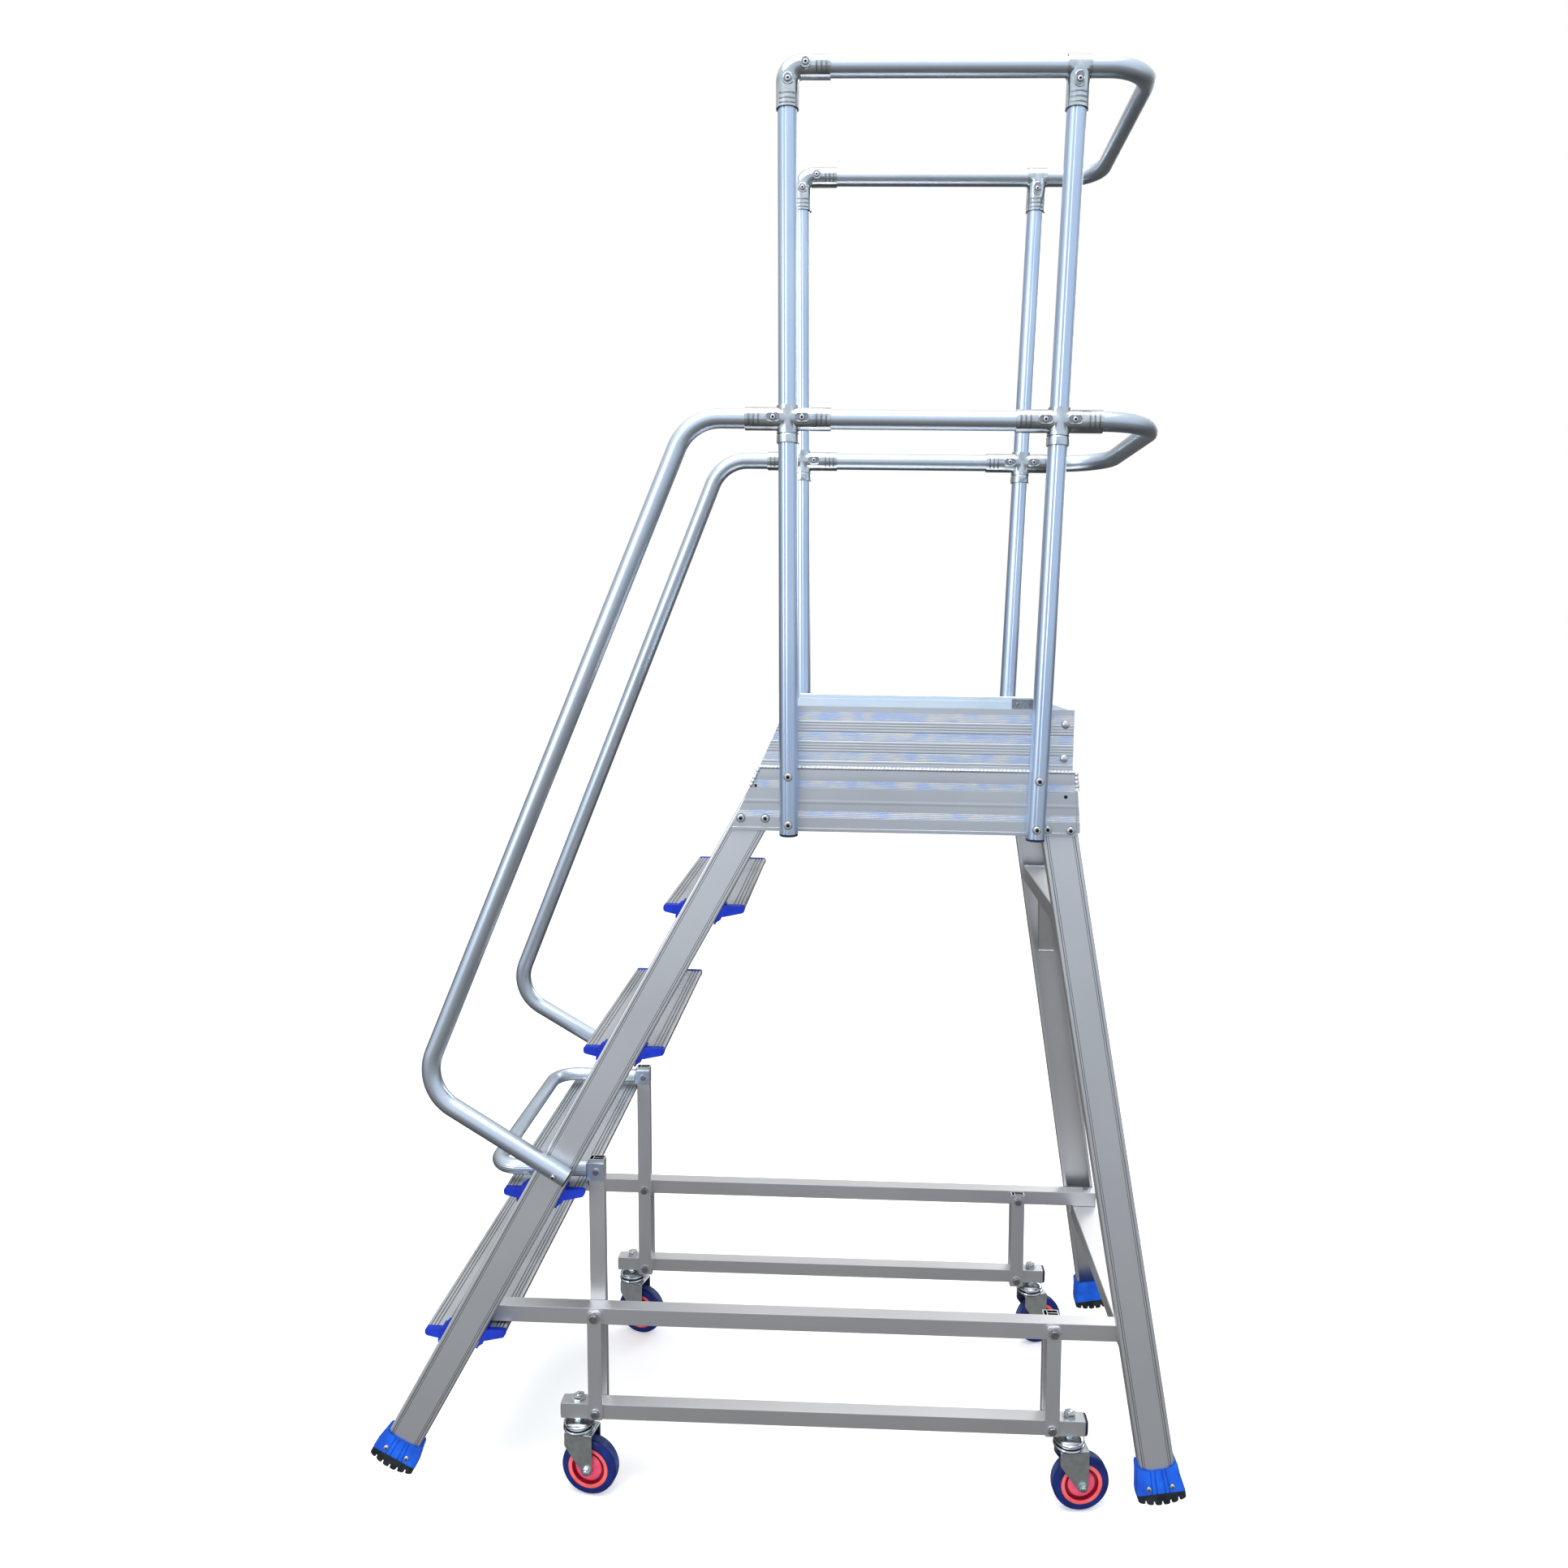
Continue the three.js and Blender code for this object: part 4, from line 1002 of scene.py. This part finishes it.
def sleeve_section(turn):
    """A pressed pair of halves: round, with the seam between them showing as a groove on two sides."""
    return fluted(SLEEVE, 72, (turn, turn + 180), 2.4, 5)


def boss(shape, at, axis, radius, stretch=(0, 0, 0)):
    """A raised rim round a bolt, with the bolt's head inside it; stretch draws the rim into an oval."""
    place = frame_at(at, axis)
    shift = place.to_3x3().inverted() @ Vector(stretch)
    rings = []
    for grow, h in ((1.2, -2.5), (0.6, 1.8), (-0.3, 2.6), (-1.1, 2.5), (-1.7, 1.8)):
        ring = []
        for x, y in circle(radius + grow, 36):
            side = 1 if x * shift.x + y * shift.y > 0 else -1
            ring.append(place @ Vector((x + side * shift.x, y + side * shift.y, h)))
        rings.append(ring)
    shape.loft(rings, 0, caps=(False, False))
    # The floor inside the rim takes the second material, a mid grey: painted shade in the recess.
    shape.loft([rings[-1]] * 2, 1, caps=(False, True))
    socket_bolt(shape, Vector(at) + Vector(axis).normalized(), axis, 4.6, 2.8, metal=2, dark=3)


def joint(node, shape):
    stand_in(node, "halves", shape, [NICKEL, HEX_GREY_AND_SHADE, BOLT, SHADE], angle=38)


def build_joints():
    for side, sign in SIDES.items():
        out = Vector((0, sign, 0))
        build_elbow(side, sign, out)
        build_tee(side, sign, out)
        for label, post in (("front", FRONT_POST), ("rear", REAR_POST)):
            build_cross(label, post, side, sign, out)


def shell_route(route):
    """A hollow sleeve along a route: its outer rings go forward and its inner rings back."""
    count, rings = 72, []
    for section, way in ((sleeve_section(90), 1), (circle(BORE, count), -1)):
        points = Shape().sweep(route, section, caps=(False, False)).points
        rings += [points[i:i + count] for i in range(0, len(points), count)][::way]
    return Shape().loft(rings, closed=True)


def build_elbow(side, sign, out):
    low = TOP_Z - 66
    y = sign * post_y(TOP_Z)
    corners = [(post_x(FRONT_POST, low), sign * post_y(low), low),
               (post_x(FRONT_POST, TOP_Z), y, TOP_Z), (62, y, TOP_Z)]
    shape = shell_route(bent(corners, 24, 12))
    for x, z in ((22, TOP_Z), (-6, TOP_Z - 25)):
        for way in (1, -1):
            boss(shape, (x, y + sign * way * (SLEEVE - 1.4), z), out * way, 9.0)
    for z in (TOP_Z - 46, TOP_Z - 54, TOP_Z - 61):
        crimp(shape, (post_x(FRONT_POST, z), sign * post_y(z), z), (0, 0, 1), out)
    for x in (40, 48, 56):
        crimp(shape, (x, y, TOP_Z), (1, 0, 0), out)
    joint(f"top_elbow_{side}", shape)


def crimp(shape, centre, axis, out):
    """A short raised bar pressed across a sleeve, on both halves."""
    centre, axis = Vector(centre), Vector(axis)
    for way in (1, -1):
        place = frame_at(centre, axis, out * way)
        arc = [math.radians(a) for a in range(-42, 43, 7)]
        rim = [((SLEEVE + 0.55) * math.cos(a), (SLEEVE + 0.55) * math.sin(a)) for a in arc]
        rim += [((SLEEVE - 1) * math.cos(a), (SLEEVE - 1) * math.sin(a)) for a in reversed(arc)]
        # The bars take the second material, a grey: painted shade in the press marks.
        shape.prism(rim, place, -1.5, 1.5, chamfer=0.45, slot=1)


def cylinder(a, b, section):
    return Shape().sweep([a, b], section)


def build_tee(side, sign, out):
    y = sign * post_y(TOP_Z)
    x, low = post_x(REAR_POST, TOP_Z), TOP_Z - 66
    foot = Vector((post_x(REAR_POST, low), sign * post_y(low), low))
    head = Vector((x, y, TOP_Z))
    down = foot - head
    round_sleeve, bore = circle(SLEEVE, 48), circle(BORE, 48)
    across = cylinder((x - 19, y, TOP_Z), (x + 19, y, TOP_Z), round_sleeve)
    stem = cylinder(foot, head, sleeve_section(90))
    bores = [cylinder((x - 40, y, TOP_Z), (x + 40, y, TOP_Z), bore), cylinder(foot + down * 0.3, head, bore)]
    shape = mesh_shape(union(across, [stem], bores))
    for way in (1, -1):
        boss(shape, head + down * (26 / 66) + out * way * (SLEEVE - 1.6), out * way, 7.6, (0, 0, 5))
    for drop in (44, 52, 60):
        crimp(shape, head + down * (drop / 66), -down, out)
    joint(f"top_tee_{side}", shape)


def build_cross(label, post, side, sign, out):
    z, x = MID_Z, post_x(post, MID_Z)
    y = sign * post_y(z)

    def at(up):
        return Vector((post_x(post, z + up), sign * post_y(z + up), z + up))

    round_sleeve, bore = circle(SLEEVE, 48), circle(BORE, 48)
    across = cylinder((x - 71, y, z), (x + 71, y, z), sleeve_section(90))
    stem = cylinder(at(-24), at(21), round_sleeve)
    bores = [cylinder((x - 90, y, z), (x + 90, y, z), bore), cylinder(at(-60), at(60), bore)]
    shape = mesh_shape(union(across, [stem], bores))
    for along in (-24, 24):
        for way in (1, -1):
            boss(shape, (x + along, y + sign * way * (SLEEVE - 1.6), z), out * way, 7.6, (5, 0, 0))
    for along in (-64, -56, -48, 48, 56, 64):
        crimp(shape, (x + along, y, z), (1, 0, 0), out)
    rim = ((-26, 17.2), (-26, 18.4), (-27, 19.0), (-39, 19.0), (-40, 18.4), (-40, 16.2), (-26, 16.2))
    shape.loft([[at(up) + Vector((u, v, 0)) for u, v in circle(r, 48)] for up, r in rim], caps=(False, False))
    joint(f"{label}_cross_joint_{side}", shape)


# ---- Side rails, beams and linkage ----
def rectangle(width, height, radius=1.6):
    u, v = width / 2, height / 2
    return rounded([(-u, -v), (u, -v), (u, v), (-u, v)], radius)


def chamfered(width, height):
    """A rectangle whose corners are cut off in two steps."""
    corners = []
    for a, b in ((1, -1), (1, 1), (-1, 1), (-1, -1)):
        u, v = a * width / 2, b * height / 2
        corner = [(u - a * 1.5, v), (u - a * 0.4, v - b * 0.4), (u, v - b * 1.5)]
        corners += corner if a * b < 0 else corner[::-1]
    return corners


def end_plug(shape, at, ahead, width, height):
    """A rounded plug in the end of a rectangular tube."""
    place = frame_at(at, ahead, (0, 1, 0))
    levels = ((-1.8, -3), (-1.4, 0), (0, 0.15), (0, 1.4), (-1.6, 3.6), (-5.5, 4.8))
    shape.loft([ring_at(place, rectangle(width + grow, height + grow, 3.0), h) for grow, h in levels])


def build_side_members():
    for side in SIDES:
        for node, body, front, rear in ((f"side_rail_{side}", "frame", 0, 0),
                                        (f"caster_beam_{side}", f"caster_beam_{side}", 1.5, 5)):
            low, high = box_mm(node)
            mid = (low + high) / 2
            depth, height = high.y - low.y, high.z - low.z
            place = ALONG_X.copy()
            place.translation = Vector((0, mid.y, mid.z))
            start, end = low.x + front, high.x - rear
            tube = Shape().prism(chamfered(depth, height), place, start, end, chamfer=0.3)
            stand_in(node, "tube", tube, [ALUMINIUM], body)
            plugs = Shape()
            sunk = 3.4 if rear else 4.8
            end_plug(plugs, (start + sunk, mid.y, mid.z), (-1, 0, 0), depth - 0.6, height - 0.6)
            if rear:
                end_plug(plugs, (end, mid.y, mid.z), (1, 0, 0), depth, height)
            piece(f"{node}_plugs", plugs, [PLUG], body)


def lean_frame(pivot, sign, z):
    """An upright frame that leans with the linkage: across X, across Y, and along it."""
    return frame_at((pivot - LEVER_LEAN * (z - RAIL_Z), sign * LEVER_Y, z), (-LEVER_LEAN, 0, 1), (1, 0, 0))


def build_linkage():
    outer = rectangle(LEVER["width"], LEVER["depth"], 1.8)
    inner = rectangle(LEVER["width"] - 4, LEVER["depth"] - 4, 0.8)
    across, split = LEVER["width"] / 2 - 2, -LEVER["width"] * 0.22
    webs = ([(split, -0.8), (across, -0.8), (across, 0.8), (split, 0.8)],
            [(split - 0.8, -7.2), (split + 0.8, -7.2), (split + 0.8, 7.2), (split - 0.8, 7.2)])
    strip = rounded([(-12.5, -190.5), (12.5, -190.5), (12.5, 12.5), (-12.5, 12.5)], [3, 3, 8, 8], 5)
    foot = BEAM_Z - 13
    for side, sign in SIDES.items():
        out = Vector((0, sign, 0))
        rear = f"rear_link_{side}"
        for node, pivot, top, body in ((f"lift_lever_{side}", PIVOT["front"], LEVER["top"], "lift_lever"),
                                       (f"rear_inner_link_{side}", PIVOT["rear"], RAIL_Z + 13, rear)):
            place, length = lean_frame(pivot, sign, foot), top - foot
            # The inner faces and the webs take the second material: painted shade inside the tube.
            shape = Shape().hollow(outer, inner, place, length, 1)
            for web in webs:
                shape.prism(web, place, 0.5, length - 0.5, slot=1, cap_slot=0)
            stand_in(node, "tube", shape, [ALUMINIUM, SHADE], body)
        for label, pivot, body in (("front", PIVOT["front"], "lift_lever"), ("rear", PIVOT["rear"], rear)):
            place = frame_at((pivot, sign * (RAIL_Y + 14.3), RAIL_Z), (-LEVER_LEAN, 0, 1), out)
            shape = Shape().prism(strip, place @ ALONG_X, 0, 5.5, chamfer=0.6)
            for x, z, washer in ((pivot, RAIL_Z, 11.0), (low_x(pivot), BEAM_Z, 8.6)):
                hex_bolt(shape, (x, sign * (RAIL_Y + 19.8), z), out, 13.0, 6.2, metal=1, washer=washer)
                hex_bolt(shape, (x, sign * (LEVER_Y - 9.0), z), -out, 13.0, 6.8, metal=1, washer=9.0)
                shank = frame_at((x, sign * (RAIL_Y - 6), z), out)
                shape.turned([(4.9, -24), (4.9, 24), (0, 24)], shank, 20, 1)
            stand_in(f"{label}_outer_link_{side}", "strip", shape, [ALUMINIUM, BOLT, HEX_GREY_AND_SHADE], body)


def build_pedal():
    lever_x = PIVOT["front"] - LEVER_LEAN * (PEDAL["z"] - RAIL_Z)
    face = lever_x - LEVER["width"] / 2 - 1.2
    corners = [(face - 2.5, -LEVER_Y, PEDAL["z"]), (PEDAL["x"], -LEVER_Y, PEDAL["z"]),
               (PEDAL["x"], LEVER_Y, PEDAL["z"]), (face - 2.5, LEVER_Y, PEDAL["z"])]
    section = fluted(PEDAL["tube"], 144, range(0, 360, 15), 0.35, 3.4)
    bar = Shape().sweep(bent(corners, PEDAL["radius"]), section)
    stand_in("pedal_bar", "tube", bar, [TUBING], "lift_lever", 50)
    cheek = LEVER["depth"] / 2 + 0.3
    reach = lever_x + 13.6
    fold = [(face - 3, -cheek - 3), (reach, -cheek - 3), (reach, -cheek), (face, -cheek), (face, cheek),
            (reach, cheek), (reach, cheek + 3), (face - 3, cheek + 3)]
    fold = rounded(fold, [3.2, 0.6, 0.6, 0.8, 0.8, 0.6, 0.6, 3.2], 4)
    for side, sign in SIDES.items():
        y = sign * LEVER_Y
        clevis = Shape().prism(fold, Matrix.Translation((0, y, 0)), 571, 602, chamfer=0.5)
        for way in (1, -1):
            at = (lever_x, y + way * (cheek + 3), LEVER["bolt"])
            hex_bolt(clevis, at, (0, way, 0), 10.0, 5.6, metal=1, washer=6.4)
        # The clevis takes the post material, whose bright blue-white is a painted sky reflection.
        piece(f"pedal_clevis_{side}", clevis, [POST_PAINTED_SKY, BOLT, HEX_GREY_AND_SHADE], "lift_lever")


# ---- Casters ----
def build_caster(place_name):
    x, yaw = CASTERS[place_name]
    sign = SIDES[place_name.split("_")[1]]
    place = Matrix.Translation((x, sign * RAIL_Y, 0)) @ Matrix.Rotation(math.radians(yaw), 4, "Z")
    trail, axle_z = WHEEL["trail"], WHEEL["radius"]

    fork = Shape()
    arc = [math.radians(degrees) for degrees in range(205, 361, 15)]
    arc = [(trail + 10 * math.cos(a), axle_z + 10 * math.sin(a)) for a in arc]
    outline = rounded([(-20, 117), (-20, 92), *arc, (trail + 10, 117)], [2, 10] + [0] * len(arc) + [2], 4)
    for start in (-21, 18.4):
        fork.prism(outline, place @ ALONG_Y, start, start + 2.6, chamfer=0.5)
    crown = rounded([(-20, -21), (trail + 10, -21), (trail + 10, 21), (-20, 21)], 4)
    fork.prism(crown, place, 114.4, 117.2, chamfer=0.6)
    races = [(0, 117), (25.5, 117), (27.4, 118.4), (28, 121), (27, 123.2), (23.5, 124), (23.5, 125.4),
             (26.2, 126.2), (27.4, 128.6), (26.8, 131.0), (24, 133.2), (17, 134.6), (12, 135), (9, 135.2),
             (9, 136.6), (0, 136.6)]
    # The narrow groove between the two races takes the second material: painted shade.
    fork.turned(races, place, 48, slots=[1 if k in (5, 6) else 2 for k in range(len(races) - 1)])
    nut_place = place @ Matrix.Translation((0, 0, 136.4))
    for base, height in ((0.2, 5.0), (34.4, 8.2)):
        fork.prism(hex_outline(18), nut_place, base, base + height, chamfer=0.8, slot=2)
    fork.turned([(12.5, 33.6), (12.5, 34.6), (0, 34.6)], nut_place, 32, 2)
    fork.turned([(5.6, 5), (5.6, 43), (4.6, 44.4), (0, 44.8)], nut_place, 24, 2)
    axle = place @ Matrix.Translation((trail, 0, axle_z)) @ Matrix.Rotation(math.pi / 2, 4, "X")
    fork.turned([(0, -21), (5.8, -21), (5.8, 21), (0, 21)], axle, 24, 2)
    for turn, height in ((0, 2.0), (math.pi, 1.2)):
        flip = axle @ Matrix.Rotation(turn, 4, "X")
        fork.turned([(8.4, 21), (8.4, 22.2), (0, 22.2)], flip, 28, 2)
        fork.prism(hex_outline(12.5), flip, 22.2, 26.6, chamfer=0.6, slot=2)
        dome(fork, flip @ Vector((0, 0, 26.4)), flip.to_3x3() @ Vector((0, 0, 1)), 4.6, height, 2)
    finishes = [ZINC, SHADE, NICKEL]
    stand_in(f"caster_fork_{place_name}", "pressing", fork, finishes, f"fork_{place_name}")

    half = WHEEL["width"] / 2
    face = [(7.0, -0.6, 4), (11.5, -0.6, 4), (13, 2.2, 4), (20, 3.0, 4), (24.5, 5.2, 3), (25.5, 8, 3),
            (29.5, 8, 3), (30.5, 2, 2), (31.5, 1.2, 2), (36, 1.2, 2), (37, 1.8, 2), (37.2, 1.4, 0),
            (38.5, 0.5, 0), (44, 0.3, 0), (47.6, 1.8, 0), (50, 5, 0), (50.9, 8.5, 1)]
    profile = [(r, half - sunk) for r, sunk, _ in face] + [(r, sunk - half) for r, sunk, _ in reversed(face)]
    marks = [mark for _, _, mark in face]
    slots = marks + marks[-2::-1] + [4]
    rings = [ring_at(axle, circle(r, 72), h) for r, h in profile]
    wheel = Shape().loft(rings, slot_of=lambda i, k: slots[i], closed=True)
    finishes = [TYRE, TREAD_BAND, CORAL, GROOVE_RED, HUB_PINK]
    node, body = f"caster_wheel_{place_name}", f"wheel_{place_name}"
    stand_in(node, "tyre_and_disc", wheel, finishes, body, angle=40)


for side_name in SIDES:
    build_leg("front", FRONT_LEG, side_name)
    build_leg("rear", REAR_LEG, side_name)
    build_side_plate(side_name)
for tread_index in range(TREADS):
    build_tread(tread_index)
build_cross_tubes()
build_toe_boards()
build_deck()
build_posts()
build_rails()
build_joints()
build_side_members()
build_linkage()
build_pedal()
for caster in CASTERS:
    build_caster(caster)


# ---- Floor, light and camera ----
def build_floor():
    low, reach = cad_low.z - 0.0005, 30.0
    mesh = bpy.data.meshes.new("floor")
    corners = [(a * reach, b * reach, low) for a, b in ((-1, -1), (1, -1), (1, 1), (-1, 1))]
    mesh.from_pydata(corners, [], [(0, 1, 2, 3)])
    material, tree, shader = node_material("pale_floor", (0.93, 0.93, 0.93), 0.0, 0.8)
    tone = tint(tree, noise(tree, 0.5), (0.925, 0.925, 0.925), (0.935, 0.935, 0.935))
    tree.links.new(tone, shader.inputs["Base Color"])
    shader.inputs["Emission Color"].default_value = (1, 1, 1, 1)
    shader.inputs["Emission Strength"].default_value = 0.32
    mesh.materials.append(material)
    floor = linked("floor", mesh)
    floor.visible_glossy = False


def build_world():
    """White to the camera; to reflections, a soft sky over a darker ground, dimmer beyond the object."""
    world = bpy.data.worlds.new("studio")
    bpy.context.scene.world = world
    world.use_nodes = True
    tree = world.node_tree
    tree.nodes.clear()
    place = add_node(tree, "TexCoord").outputs["Generated"]
    split = add_node(tree, "SeparateXYZ", links={"Vector": place}).outputs
    height = add_node(tree, "MapRange", {"From Min": -1}, {"Value": split["Z"]}).outputs["Result"]

    def gradient(*stops):
        """Stops are (place, colour), where a colour is one grey or red, green and blue."""
        node = add_node(tree, "ValToRGB", links={"Fac": height})
        elements = node.color_ramp.elements
        elements[0].position, elements[1].position = stops[0][0], stops[-1][0]
        for at, colour in stops:
            tone = (colour,) * 3 if isinstance(colour, float) else colour
            ends = {stops[0][0]: elements[0], stops[-1][0]: elements[-1]}
            stop = ends.get(at) or elements.new(at)
            stop.color = (*tone, 1)
        return node.outputs["Color"]

    front = gradient((0.0, 0.08), (0.28, (0.27, 0.265, 0.26)), (0.40, (0.33, 0.335, 0.34)),
                     (0.455, (0.52, 0.58, 0.66)), (0.485, (0.74, 0.84, 0.98)), (0.56, (0.66, 0.76, 0.90)),
                     (0.75, (0.84, 0.92, 1.0)), (1.0, 1.0))
    back = gradient((0.0, 0.06), (0.40, (0.13, 0.13, 0.125)), (0.50, (0.20, 0.20, 0.195)), (0.62, 0.42),
                    (0.74, (0.68, 0.70, 0.72)), (0.86, (0.95, 0.98, 1.0)), (1.0, 1.0))
    facing = add_node(tree, "MapRange", {"From Min": -0.35, "From Max": 0.25}, {"Value": split["Y"]})
    sky = add_node(tree, "Mix", (), {"Factor": facing.outputs["Result"], "A": front, "B": back}, "RGBA")
    lit = add_node(tree, "Background", links={"Color": sky.outputs["Result"]})
    plain = add_node(tree, "Background", {"Color": (1, 1, 1, 1)})
    ray = add_node(tree, "LightPath").outputs["Is Camera Ray"]
    links = {"Fac": ray, 1: lit.outputs["Background"], 2: plain.outputs["Background"]}
    mix = add_node(tree, "MixShader", links=links)
    add_node(tree, "OutputWorld", links={"Surface": mix.outputs["Shader"]})


def area_light(name, at, target, size, power):
    data = bpy.data.lights.new(name, "AREA")
    data.shape, data.size, data.energy = "DISK", size, power
    light = linked(name, data)
    light.location = at
    light.rotation_euler = (Vector(target) - Vector(at)).to_track_quat("-Z", "Y").to_euler()


def build_camera():
    """The camera stands on the near side, higher than the platform, and looks slightly down."""
    data = bpy.data.cameras.new("camera")
    data.sensor_width, data.lens = 36.0, 27.02
    data.shift_x, data.shift_y = -0.02464, -0.02572
    data.clip_end = 100
    yaw, pitch, roll = -0.03283, 0.09031, 0.01463
    level = Vector((math.sin(yaw), math.cos(yaw), 0))
    right = Vector((math.cos(yaw), -math.sin(yaw), 0))
    ahead = level * math.cos(pitch) - Vector((0, 0, math.sin(pitch)))
    up = Vector((0, 0, math.cos(pitch))) + level * math.sin(pitch)
    right, up = right * math.cos(roll) + up * math.sin(roll), up * math.cos(roll) - right * math.sin(roll)
    camera = linked("camera", data)
    camera.matrix_world = basis(right, up, -ahead, Vector((130.5, -2223.0, 1533.1)) * MM)
    bpy.context.scene.camera = camera


build_camera()
build_floor()
build_world()
area_light("overhead", (-0.4, -0.8, 5.2), (0, 0, 1.2), 4.0, 175)
area_light("near_fill", (-3.2, -4.0, 2.6), (0, 0, 1.0), 3.0, 58)
area_light("far_fill", (3.0, 4.0, 3.0), (0, 0, 1.0), 3.0, 70)
bpy.context.scene.view_settings.view_transform = "Standard"
